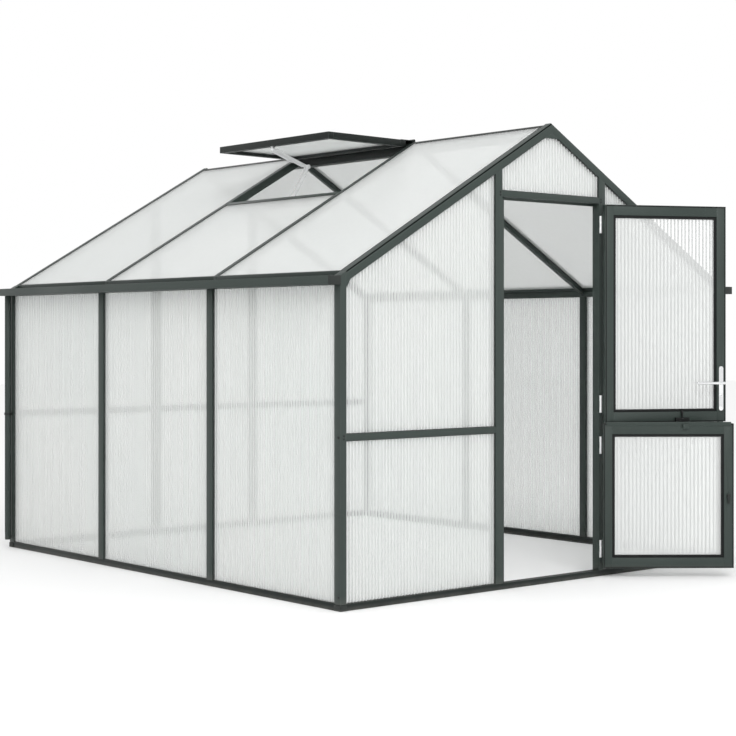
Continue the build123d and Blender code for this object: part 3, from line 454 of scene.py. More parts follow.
# ---- Finishes ----
class Effects:
    """Shader groups that more than one finish uses."""

    @staticmethod
    def group(name: str, inputs: dict[str, float], outputs: Sequence[str]) -> bpy.types.ShaderNodeTree:
        """Empty shader group with named number inputs and outputs."""
        tree = bpy.data.node_groups.new(name, "ShaderNodeTree")
        for title, value in inputs.items():
            socket = tree.interface.new_socket(title, in_out="INPUT", socket_type="NodeSocketFloat")
            socket.default_value = value
        for title in outputs:
            tree.interface.new_socket(title, in_out="OUTPUT", socket_type="NodeSocketFloat")
        tree.nodes.new("NodeGroupInput")
        tree.nodes.new("NodeGroupOutput")
        return tree

    @classmethod
    def grain(cls) -> bpy.types.ShaderNodeTree:
        """Fine grain and slow cloudiness of a surface."""
        found = bpy.data.node_groups.get("surface_grain")
        if found:
            return found
        tree = cls.group("surface_grain", {"Grain Scale": 900.0, "Cloud Scale": 6.0}, ("Grain", "Cloud"))
        source, sink = tree.nodes["Group Input"], tree.nodes["Group Output"]
        place = tree.nodes.new("ShaderNodeTexCoord")
        for title, detail in (("Grain", 2.0), ("Cloud", 5.0)):
            noise = tree.nodes.new("ShaderNodeTexNoise")
            noise.inputs["Detail"].default_value = detail
            tree.links.new(place.outputs["Object"], noise.inputs["Vector"])
            tree.links.new(source.outputs[f"{title} Scale"], noise.inputs["Scale"])
            tree.links.new(noise.outputs["Fac"], sink.inputs[title])
        return tree

    @classmethod
    def dust(cls) -> bpy.types.ShaderNodeTree:
        """Settled dust: more near the ground and on faces that look up."""
        found = bpy.data.node_groups.get("settled_dust")
        if found:
            return found
        tree = cls.group("settled_dust", {"Reach": 0.35, "Upward": 0.25, "Scale": 14.0}, ("Mask",))
        source, sink = tree.nodes["Group Input"], tree.nodes["Group Output"]
        place = tree.nodes.new("ShaderNodeTexCoord")
        split = tree.nodes.new("ShaderNodeSeparateXYZ")
        tree.links.new(place.outputs["Object"], split.inputs["Vector"])
        low = tree.nodes.new("ShaderNodeMapRange")
        for title, number in (("From Min", 0.0), ("To Min", 1.0), ("To Max", 0.0)):
            low.inputs[title].default_value = number
        tree.links.new(split.outputs["Z"], low.inputs["Value"])
        tree.links.new(source.outputs["Reach"], low.inputs["From Max"])
        normal = tree.nodes.new("ShaderNodeNewGeometry")
        up = tree.nodes.new("ShaderNodeSeparateXYZ")
        tree.links.new(normal.outputs["Normal"], up.inputs["Vector"])
        lift = cls.math(tree, "MULTIPLY", up.outputs["Z"], source.outputs["Upward"], clamp=True)
        noise = tree.nodes.new("ShaderNodeTexNoise")
        noise.inputs["Detail"].default_value = 6.0
        tree.links.new(place.outputs["Object"], noise.inputs["Vector"])
        tree.links.new(source.outputs["Scale"], noise.inputs["Scale"])
        total = cls.math(tree, "ADD", low.outputs["Result"], lift)
        patchy = cls.math(tree, "MULTIPLY", total, noise.outputs["Fac"], clamp=True)
        tree.links.new(patchy, sink.inputs["Mask"])
        return tree

    @staticmethod
    def math(
        tree: bpy.types.ShaderNodeTree, kind: str, first: object, second: object, clamp: bool = False
    ) -> bpy.types.NodeSocket:
        """Math node on two sockets or numbers.

        Args:
            tree: The tree that the node goes in.
            kind: Operation of the node.
            first: First socket or number.
            second: Second socket or number.
            clamp: Whether the result is kept between 0 and 1.

        Returns:
            The node's result.
        """
        node = tree.nodes.new("ShaderNodeMath")
        node.operation = kind
        node.use_clamp = clamp
        for number, value in enumerate((first, second)):
            if isinstance(value, (int, float)):
                node.inputs[number].default_value = value
            else:
                tree.links.new(value, node.inputs[number])
        return node.outputs[0]

    @staticmethod
    def blend(
        tree: bpy.types.ShaderNodeTree, factor: bpy.types.NodeSocket, first: object,
        second: Sequence[float],
    ) -> bpy.types.NodeSocket:
        """Colour between two colours.

        Args:
            tree: The tree that the node goes in.
            factor: Socket that says how much of the second colour shows.
            first: First colour, or the socket that gives it.
            second: Second colour.

        Returns:
            The node's colour.
        """
        node = tree.nodes.new("ShaderNodeMix")
        node.data_type = "RGBA"
        start, end = (socket for socket in node.inputs if socket.identifier in ("A_Color", "B_Color"))
        if isinstance(first, bpy.types.NodeSocket):
            tree.links.new(first, start)
        else:
            start.default_value = (*first, 1)
        end.default_value = (*second, 1)
        tree.links.new(factor, node.inputs[0])
        return next(socket for socket in node.outputs if socket.identifier == "Result_Color")

    @staticmethod
    def spread(
        tree: bpy.types.ShaderNodeTree, value: bpy.types.NodeSocket, low: float, high: float
    ) -> bpy.types.NodeSocket:
        """The middle stretch of a noise value, where most of it lies, spread between two numbers."""
        node = tree.nodes.new("ShaderNodeMapRange")
        for title, number in (("From Min", 0.35), ("From Max", 0.65), ("To Min", low), ("To Max", high)):
            node.inputs[title].default_value = number
        tree.links.new(value, node.inputs["Value"])
        return node.outputs["Result"]


@dataclass(frozen=True)
class Finish:
    """Opaque surface with fine grain, cloudy colour and dust."""

    name: str
    slot: Slot
    colour: tuple[float, float, float]
    cloud: tuple[float, float, float]
    roughness: tuple[float, float] = (0.38, 0.5)
    metallic: float = 0.0
    grain_scale: float = 900.0
    cloud_scale: float = 5.0
    bump: float = 0.00004
    dust: tuple[float, float, float] = (0.11, 0.11, 0.10)
    dust_reach: float = 0.07
    dust_upward: float = 0.1
    specular: float = 0.5

    def surface(
        self, tree: bpy.types.ShaderNodeTree, shader: bpy.types.ShaderNode
    ) -> bpy.types.ShaderNode:
        """Grain, cloudiness and dust on a shader.

        Args:
            tree: The material's tree.
            shader: Its shader.

        Returns:
            The grain node.
        """
        grain = tree.nodes.new("ShaderNodeGroup")
        grain.node_tree = Effects.grain()
        grain.inputs["Grain Scale"].default_value = self.grain_scale
        grain.inputs["Cloud Scale"].default_value = self.cloud_scale
        mottle = Effects.spread(tree, grain.outputs["Cloud"], 0.0, 1.0)
        own = Effects.blend(tree, mottle, self.colour, self.cloud)
        dust = tree.nodes.new("ShaderNodeGroup")
        dust.node_tree = Effects.dust()
        dust.inputs["Reach"].default_value = self.dust_reach
        dust.inputs["Upward"].default_value = self.dust_upward
        dusted = Effects.blend(tree, dust.outputs["Mask"], own, self.dust)
        tree.links.new(dusted, shader.inputs["Base Color"])
        rough = Effects.spread(tree, grain.outputs["Cloud"], *self.roughness)
        tree.links.new(rough, shader.inputs["Roughness"])
        bump = tree.nodes.new("ShaderNodeBump")
        bump.inputs["Strength"].default_value = 1.0
        bump.inputs["Distance"].default_value = self.bump
        tree.links.new(grain.outputs["Grain"], bump.inputs["Height"])
        tree.links.new(bump.outputs["Normal"], shader.inputs["Normal"])
        return grain

    def material(self) -> bpy.types.Material:
        """The finish as a material, made once."""
        material = bpy.data.materials.get(self.name)
        if material is None:
            material = bpy.data.materials.new(self.name)
            material.use_nodes = True
            shader = material.node_tree.nodes["Principled BSDF"]
            shader.inputs["Metallic"].default_value = self.metallic
            shader.inputs["Specular IOR Level"].default_value = self.specular
            self.surface(material.node_tree, shader)
        return material


@dataclass(frozen=True)
class SheetFinish(Finish):
    """Milky see-through plastic, streaked along its flutes, with a painted glow."""

    alpha: tuple[float, float] = (0.2, 0.24)
    painted_glow: float = 0.0
    streak_scale: float = 52.0
    streak_draw: float = 0.02

    def surface(
        self, tree: bpy.types.ShaderNodeTree, shader: bpy.types.ShaderNode
    ) -> bpy.types.ShaderNode:
        """The plain surface, with streaks in how much shows through and a faint painted glow: emission that
        stands in for light coming through the sheet.

        Args:
            tree: The material's tree.
            shader: Its shader.

        Returns:
            The grain node.
        """
        grain = super().surface(tree, shader)
        place = tree.nodes.new("ShaderNodeTexCoord")
        drawn = tree.nodes.new("ShaderNodeMapping")
        drawn.inputs["Scale"].default_value = (1, 1, self.streak_draw)
        tree.links.new(place.outputs["Object"], drawn.inputs["Vector"])
        streaks = tree.nodes.new("ShaderNodeTexNoise")
        streaks.inputs["Scale"].default_value = self.streak_scale
        streaks.inputs["Detail"].default_value = 3.0
        tree.links.new(drawn.outputs["Vector"], streaks.inputs["Vector"])
        both = Effects.math(tree, "ADD", streaks.outputs["Fac"], grain.outputs["Cloud"])
        half = Effects.math(tree, "MULTIPLY", both, 0.5)
        tree.links.new(Effects.spread(tree, half, *self.alpha), shader.inputs["Alpha"])
        # Painted light: a white emission that makes the sheet glow as if lit through.
        shader.inputs["Emission Color"].default_value = (1.0, 1.0, 1.0, 1.0)
        shader.inputs["Emission Strength"].default_value = self.painted_glow
        return grain


PAINT = Finish(
    "powder_coat", Slot.PAINT, (0.026, 0.038, 0.033), (0.031, 0.043, 0.038), (0.4, 0.52), cloud_scale=3.0,
    specular=0.34,
)
# Eased edges: lighter and glossier, partly edge wear and partly a painted highlight.
PAINT_EDGE_WEAR_AND_HIGHLIGHT = Finish(
    "powder_coat_worn_edge", Slot.PAINT, (0.034, 0.047, 0.042), (0.045, 0.058, 0.053), (0.3, 0.42),
    specular=0.4,
)
GASKET = Finish(
    "gasket_rubber", Slot.RUBBER, (0.022, 0.025, 0.024), (0.03, 0.033, 0.031), (0.5, 0.7),
    grain_scale=1500.0,
)
PLASTIC = Finish(
    "moulded_plastic", Slot.PLASTIC, (0.014, 0.018, 0.016), (0.020, 0.024, 0.022), (0.42, 0.55),
    grain_scale=1400.0, dust_reach=0.01, specular=0.3,
)
# Painted shade: the frame's own powder coat made darker for the vent sash and the ridge, seen from their shaded
# side.
SHADED_PAINT = Finish(
    "powder_coat_dark", Slot.PAINT, (0.007, 0.010, 0.009), (0.011, 0.015, 0.013), (0.4, 0.52), cloud_scale=3.0,
    specular=0.25,
)
# Painted shade: the frame's own powder coat made darker on the base rails, for the shade along the ground.
BASE_SHADE_PAINT = Finish(
    "powder_coat_base", Slot.PAINT, (0.010, 0.014, 0.013), (0.014, 0.019, 0.017), (0.42, 0.55), cloud_scale=3.0,
    dust_reach=0.02, specular=0.22,
)
BLACK = Finish(
    "black_trim", Slot.RUBBER, (0.006, 0.007, 0.007), (0.010, 0.011, 0.011), (0.55, 0.7), specular=0.2,
)
SCREW = Finish(
    "dark_screw", Slot.STEEL, (0.008, 0.009, 0.009), (0.015, 0.016, 0.016), (0.35, 0.5), grain_scale=1600.0,
    specular=0.3,
)
ZINC = Finish(
    "bright_zinc", Slot.STEEL, (0.86, 0.87, 0.88), (0.94, 0.94, 0.94), (0.3, 0.4), 0.5, 1600.0,
    cloud_scale=40.0, bump=0.00001, dust_upward=0.02,
)
STEEL = Finish(
    "zinc_steel", Slot.STEEL, (0.62, 0.63, 0.64), (0.74, 0.75, 0.75), (0.28, 0.42), 1.0, 1600.0,
    cloud_scale=40.0, bump=0.00001, dust_upward=0.05,
)
CHROME = Finish(
    "polished_chrome", Slot.CHROME, (0.78, 0.79, 0.80), (0.84, 0.85, 0.85), (0.08, 0.16), 1.0, 1200.0,
    cloud_scale=30.0, bump=0.000003, dust_upward=0.02,
)
MILL = Finish(
    "mill_aluminium", Slot.MILL, (0.80, 0.81, 0.81), (0.88, 0.885, 0.89), (0.3, 0.45), 0.6, 700.0,
    cloud_scale=24.0, bump=0.00002, dust_upward=0.05,
)


@dataclass(frozen=True)
class SheetKit:
    """The two finishes of a sheet: its skins and the ribs between them."""

    label: str
    alpha: tuple[float, float] = (0.1, 0.115)
    # rib_tone: darker than the skins, as painted shade in the flutes.
    rib_tone: float = 0.9
    rib_alpha: tuple[float, float] = (0.42, 0.45)
    # painted_shade: painted shade taken off the skins' tone, for sheets that should look less lit.
    painted_shade: float = 0.0
    # painted_glow: emission strength, painted light that brightens the sheet as if lit through.
    painted_glow: float = 0.0
    skin_tone: tuple[float, float] = (0.935, 0.945)
    skin_cast: tuple[float, float] = (0.014, 0.008)

    def skin(self) -> SheetFinish:
        """Finish of the outer skins."""
        green, blue = self.skin_cast
        low, high = (tone - self.painted_shade for tone in self.skin_tone)
        return SheetFinish(
            f"twin_wall_skin_{self.label}", Slot.SHEET, (low, low + green, low + blue),
            (high, high + green, high + blue), (0.28, 0.29), grain_scale=300.0, cloud_scale=0.5,
            bump=0.000001, dust=(0.80, 0.80, 0.78), dust_reach=0.03, dust_upward=0.0,
            alpha=self.alpha, painted_glow=self.painted_glow,
        )

    def rib(self) -> SheetFinish:
        """Finish of the ribs, denser and darker than the skins, with half their painted glow; the darker tone
        is painted shade in the flutes.
        """
        low, high = self.rib_tone, self.rib_tone + 0.02
        return SheetFinish(
            f"twin_wall_rib_{self.label}", Slot.SHEET, (low, low + 0.02, low + 0.01),
            (high, high + 0.01, high), (0.3, 0.45), grain_scale=300.0, cloud_scale=1.0,
            bump=0.00001, dust_reach=0.01, dust_upward=0.0, alpha=self.rib_alpha, painted_glow=self.painted_glow * 0.5,
        )


# ---- Handing a piece over ----
def coat(piece: bpy.types.Object, *finishes: Finish) -> None:
    """Give a piece its material slots, keeping its faces' slot numbers."""
    numbers = [polygon.material_index for polygon in piece.data.polygons]
    piece.data.materials.clear()
    for finish in finishes:
        piece.data.materials.append(finish.material())
    if len(finishes) > 1:
        piece.data.polygons.foreach_set("material_index", [min(n, len(finishes) - 1) for n in numbers])


def hand_over(
    piece: bpy.types.Object, body: str, finishes: Sequence[Finish] = (), replaces: Sequence[str] = ()
) -> bpy.types.Object:
    """Finish a piece: its materials, the body it rides on and the nodes it stands for.

    Args:
        piece: The piece, with its place in its mesh.
        body: CAD body that it moves with.
        finishes: Its finishes; none where the materials are already on it.
        replaces: CAD nodes that it is shown in place of.

    Returns:
        The piece.
    """
    if finishes:
        coat(piece, *finishes)
    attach(piece, body)
    if replaces:
        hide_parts(*replaces)
    log.info("%s rides on %s: %d faces", piece.name, body, len(piece.data.polygons))
    return piece


def body_of(node: str) -> str:
    """Body that a CAD node rides on."""
    return frame["nodes"][node]["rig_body"]


# ---- Fixings ----
@dataclass
class Screws:
    """Pan-head screws with a cross recess, copied wherever a fixing shows."""

    radius: float = 0.0042
    height: float = 0.0022
    slot_width: float = 0.0011
    slot_depth: float = 0.0013
    slot_reach: float = 0.62
    rounding: float = 0.6
    sides: int = 20

    def pattern(self) -> bpy.types.Object:
        """One screw head at the origin, looking up."""
        head = rod("screw", (0, 0, -self.height / 2), (0, 0, self.height), self.radius, self.sides)
        with editing(head):
            pick(head, facing(0, 0, 1))
            bpy.ops.mesh.bevel(offset=self.height * self.rounding, segments=3, affect="EDGES")
        reach = self.radius * self.slot_reach
        cross = []
        for x, y in ((reach, self.slot_width / 2), (self.slot_width / 2, reach)):
            low, high = self.height - self.slot_depth, self.height * 2
            cross.append(block("slot", (-x, -y, low), (x, y, high)))
        for slot in cross:
            apply_modifier(head, "BOOLEAN", operation="DIFFERENCE", object=slot, solver="EXACT")
        scrap(*cross)
        smooth(head)
        return head

    def put(
        self, name: str, body: str, finish: Finish, spots: Sequence[tuple[Vector, Vector]],
        place: Matrix = Matrix.Identity(4), size: float = 1.0,
    ) -> bpy.types.Object:
        """Screws at several spots, as one piece.

        Args:
            name: Name of the piece.
            body: CAD body that they move with.
            finish: Their finish.
            spots: Middle of each head's seat and the way it looks, in the frame given by place.
            place: Frame of the spots.
            size: Size of the heads against the pattern's.

        Returns:
            The piece.
        """
        pattern = self.pattern()
        heads = []
        for spot, way in spots:
            turn = Vector(way).to_track_quat("Z", "Y").to_matrix().to_4x4()
            at = place @ Matrix.Translation(spot) @ turn @ Matrix.Scale(size, 4)
            heads.append(twin(pattern, at))
        scrap(pattern)
        return hand_over(join(name, heads), body, (finish,))


# ---- Frame ----
@dataclass
class Members:
    """Hollow profiles of the frame, with eased edges in a lighter, glossier coat: part edge wear, part painted
    highlight.
    """

    layout: Layout
    nodes: tuple[str, ...] = (
        "base_rail_front", "base_rail_back", "base_rail_left", "base_rail_right",
        "corner_post_front_left", "corner_post_front_right",
        "corner_post_back_left", "corner_post_back_right",
        "door_post_left", "door_post_right", "side_posts_left", "side_posts_right", "back_posts",
        "door_lintel", "mid_rails_front", "mid_rails_back", "rafters_front", "rafters_back",
        "roof_bars_left", "roof_bars_right", "ridge_beam", "vent_trimmer", "joint_plates", "closing_jamb",
        "vent_sash", "upper_leaf_frame", "lower_leaf_frame", "gutter_left", "gutter_right", "downpipes",
    )
    # The vent sash and ridge beam take the darker coat: painted shade for their shaded side.
    dark: tuple[str, ...] = ("vent_sash", "ridge_beam")
    easing: float = 0.0009
    tube_corners: int = 16

    def shape(self, node: str) -> bpy.types.Object:
        """One CAD node's solids, each with eased edges, as one piece; plain tubes are closed."""
        parts = []
        for solid in self.layout.solids(node):
            plain = len(solid.points) == self.tube_corners
            parts.append(hull(node, solid) if plain else from_solid(node, solid))
        whole = join(f"{node}_profile", parts)
        coat(whole, PAINT, PAINT_EDGE_WEAR_AND_HIGHLIGHT)
        soften(whole, self.easing, edge=1)
        return whole

    def build(self) -> None:
        """Every profile of the frame, the leaves, the vent and the rain goods."""
        for node in self.nodes:
            finishes = (SHADED_PAINT if node in self.dark else PAINT, PAINT_EDGE_WEAR_AND_HIGHLIGHT)
            # The base rails are darkened with painted shade; their edges keep the usual coat.
            if node.startswith("base_rail"):
                finishes = (BASE_SHADE_PAINT, PAINT)
            hand_over(self.shape(node), body_of(node), finishes, (node,))


@dataclass
class SmallParts:
    """Hardware that keeps its CAD shape, with rounded edges and its own finish."""

    layout: Layout
    parts: tuple[tuple[str, Finish, float], ...] = (
        ("corner_feet", PLASTIC, 0.0012),
        ("gutter_end_caps", PLASTIC, 0.0008),
        ("pipe_clips", PLASTIC, 0.0008),
        ("opener_frame_foot", MILL, 0.0004),
        ("opener_sash_foot", MILL, 0.0004),
        ("handle_plates", CHROME, 0.0012),
        ("lever_handles", CHROME, 0.0015),
        ("key_barrel", CHROME, 0.0004),
        ("catch_housing", BLACK, 0.0012),
        ("catch_keep", PAINT, 0.0012),
        ("leaf_bolt", SCREW, 0.0006),
        ("turn_button", PLASTIC, 0.0010),
        ("weather_strip", GASKET, 0.0010),
        ("latch_bolt", STEEL, 0.0005),
        ("deadbolt", STEEL, 0.0006),
        ("lock_case", STEEL, 0.0005),
    )

    def build(self) -> None:
        """Every small part in its place."""
        for node, finish, easing in self.parts:
            whole = node_piece(self.layout, node, f"{node}_part")
            soften(whole, easing)
            hand_over(whole, body_of(node), (finish,), (node,))


@dataclass
class Hinges:
    """Door hinges: bright knuckles on dark wings; their screws are put with the other fixings."""

    layout: Layout
    nodes: tuple[str, ...] = ("hinge_post_wings", "upper_leaf_hinges", "lower_leaf_hinges")
    knuckle: float = 0.0066
    easing: float = 0.0004

    def build(self) -> None:
        """Every hinge, its knuckles told apart by their distance from the pin."""
        x, y, _ = self.layout.joints["upper_leaf_hinge"]["pos_m"]
        for node in self.nodes:
            whole = node_piece(self.layout, node, f"{node}_part")
            soften(whole, self.easing)
            for face in whole.data.polygons:
                near = math.hypot(face.center.x - x, face.center.y - y) < self.knuckle
                face.material_index = 0 if near else 1
            hand_over(whole, body_of(node), (ZINC, PAINT), (node,))


@dataclass
class Opener:
    """Vent opener: each arm as a pair of plates on bolts, with the gas cylinder along the upper one."""

    layout: Layout
    pairing: float = 0.010
    spacer: float = 0.003
    spacer_shares: tuple[float, ...] = (0.22, 0.5, 0.78)
    sunk: float = 0.001
    cylinder: float = 0.0085
    stem: float = 0.45
    cylinder_shares: tuple[float, ...] = (0.06, 0.62, 0.9)
    easing: float = 0.0006

    def build(self) -> None:
        """Both arms."""
        lower = self.layout.solids("opener_frame_arm")[0]
        upper = self.layout.solids("opener_sash_arm")[0]
        way = 1 if upper.middle.y > lower.middle.y else -1
        for solid, node, joint in (
            (lower, "opener_frame_arm", "frame_arm_pivot"), (upper, "opener_sash_arm", "sash_arm_pivot"),
        ):
            pivot = Vector(self.layout.joints[joint]["pos_m"])
            plate = from_solid(f"{node}_pair", solid)
            soften(plate, self.easing)
            parts = [plate, twin(plate, Matrix.Translation((0, way * self.pairing, 0)))]
            pivot.y = solid.middle.y
            run = (solid.middle - pivot).normalized()
            reach = max((point - pivot).dot(run) for point in solid.points)
            for share in self.spacer_shares if way > 0 else ():
                start = pivot + run * reach * share
                end = start.copy()
                start.y = solid.low.y + self.sunk
                end.y = solid.high.y + self.pairing - self.sunk
                parts.append(rod("spacer", start, end, self.spacer, 14))
            hand_over(join(f"{node}_pair", parts), body_of(node), (MILL,), (node,))
            if node == "opener_sash_arm":
                self.gas(pivot, run, reach, solid, way)

    def gas(self, pivot: Vector, run: Vector, reach: float, solid: Solid, way: int) -> None:
        """Gas cylinder with its rod, beside the upper arm.

        Args:
            pivot: The arm's pivot.
            run: Way along the arm.
            reach: The arm's length from the pivot.
            solid: The arm's plate.
            way: Side that the second plate stands on.
        """
        face = solid.high.y if way > 0 else solid.low.y
        outer = face + way * (self.pairing + self.cylinder + self.sunk)
        spots = []
        for share in self.cylinder_shares:
            spot = pivot + run * reach * share
            spot.y = outer
            spots.append(spot)
        tube = rod("opener_gas_cylinder", spots[0], spots[1], self.cylinder)
        soften(tube, self.easing * 2)
        stem = rod("stem", spots[1], spots[2], self.cylinder * self.stem, 16)
        soften(stem, self.easing)
        hand_over(join("opener_gas_cylinder", (tube, stem)), "sash_arm", (MILL,))


@dataclass
class Seals:
    """Black lip seal round each door leaf, on its inner face and its outer face."""

    layout: Layout
    width: float = 0.0045
    depth: float = 0.0014
    inset: float = 0.0024
    lift: float = 0.0002

    def build(self) -> None:
        """One ring on each face of each leaf."""
        inset = self.inset
        for leaf in ("upper", "lower"):
            node = f"{leaf}_leaf_frame"
            place = self.layout.opened(f"{leaf}_leaf_hinge")
            low, high = span(self.layout.solids(node, place))
            rings = []
            for face, way in ((high.y, 1), (low.y, -1)):
                near, off = sorted((face - way * self.depth, face + way * self.lift))
                slab = block(
                    "slab", (low.x + inset, near, low.z + inset), (high.x - inset, off, high.z - inset)
                )
                rings.append(strip_round("ring", slab, Vector((0, way, 0)), self.width, self.depth))
                scrap(slab)
            ring = moved(join(f"{leaf}_leaf_lip_seal", rings), place)
            hand_over(ring, body_of(node), (BLACK,))


@dataclass
class LipStrip:
    """Angle along the lower leaf's top, whose lip laps behind the upper leaf when both are closed."""

    layout: Layout
    setback: float = 0.014
    rise: float = 0.0085
    grip: float = 0.012
    thick: float = 0.0022
    gap: float = 0.0006
    easing: float = 0.0005

    def build(self) -> None:
        """The strip, in the leaf's closed frame."""
        place = self.layout.opened("lower_leaf_hinge")
        low, high = span(self.layout.solids("lower_leaf_frame", place))
        lip = block(
            "lower_leaf_lip_strip", (low.x + self.setback, high.y, high.z - self.grip),
            (high.x - self.setback, high.y + self.thick, high.z),
        )
        with editing(lip):
            pick(lip, facing(0, 0, 1))
            bpy.ops.mesh.extrude_region_move(TRANSFORM_OT_translate={"value": (0, 0, self.rise)})
            bpy.ops.transform.translate(value=(0, self.gap, 0))
        soften(lip, self.easing)
        hand_over(moved(lip, place), "lower_leaf", (PAINT,))


@dataclass
class Fixings:
    """Screws where the profiles, plates and hinges are held."""

    layout: Layout
    screws: Screws
    inset: float = 0.014
    foot_rise: float = 0.03
    eaves_drop: float = 0.055
    edge: float = 0.008
    lintel_edge: float = 0.02
    wing_shift: float = 0.003
    wing_shares: tuple[float, float] = (0.2, 0.8)
    plate_stand: float = 0.005

    def posts(self) -> None:
        """Screws in the outer faces of the corner posts, at the rails and the eaves."""
        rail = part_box("mid_rails_front")
        middle = (rail[0].z + rail[1].z) / 2
        spots = []
        for end in ("front", "back"):
            for side in Side:
                low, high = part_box(f"corner_post_{end}_{side.name.lower()}")
                x = low.x if side is Side.LEFT else high.x
                y = low.y + self.inset if end == "front" else high.y - self.inset
                for z in (low.z + self.foot_rise, middle, high.z - self.eaves_drop):
                    spots.append((Vector((x, y, z)), Vector((side.value, 0, 0))))
        self.screws.put("corner_post_screws", "frame", SCREW, spots, size=1.35)

    def gables(self) -> None:
        """Screws at the ends of the gable rails and of the lintel."""
        spots = []
        for end, way in (("front", -1), ("back", 1)):
            low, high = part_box(f"mid_rails_{end}")
            y = low.y if way < 0 else high.y
            for x in (low.x - self.inset, high.x + self.inset):
                for z in (low.z + self.edge, high.z - self.edge):
                    spots.append((Vector((x, y, z)), Vector((0, way, 0))))
        low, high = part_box("door_lintel")
        for x in (low.x - self.inset, high.x + self.inset):
            for z in (low.z + self.lintel_edge, high.z - self.edge):
                spots.append((Vector((x, low.y, z)), Vector((0, -1, 0))))
        self.screws.put("gable_screws", "frame", SCREW, spots)

    def hinges(self) -> None:
        """Screws in the hinge wings on the leaves, in each leaf's closed frame."""
        for leaf in ("upper", "lower"):
            place = self.layout.opened(f"{leaf}_leaf_hinge")
            spots = []
            for solid in self.layout.solids(f"{leaf}_leaf_hinges", place):
                x = solid.middle.x - self.wing_shift
                for share in self.wing_shares:
                    z = solid.low.z + share * (solid.high.z - solid.low.z)
                    spots.append((Vector((x, solid.low.y, z)), Vector((0, -1, 0))))
            self.screws.put(f"{leaf}_hinge_screws", f"{leaf}_leaf", SCREW, spots, place, 0.8)

    def lock(self) -> None:
        """Two screws in each long handle plate."""
        place = self.layout.opened("upper_leaf_hinge")
        spots = []
        plates = self.layout.solids("handle_plates", place)
        stile = self.layout.solids("upper_leaf_frame", place)[0]
        for plate in plates:
            way = 1 if plate.middle.y > min(other.middle.y for other in plates) else -1
            face = (stile.high.y if way > 0 else stile.low.y) + way * self.plate_stand
            for z in (plate.low.z + self.inset, plate.high.z - self.inset):
                spots.append((Vector((plate.middle.x, face, z)), Vector((0, way, 0))))
        self.screws.put("handle_plate_screws", "upper_leaf", CHROME, spots, place, 0.85)

    def build(self) -> None:
        """All the screws."""
        self.posts()
        self.gables()
        self.hinges()
        self.lock()


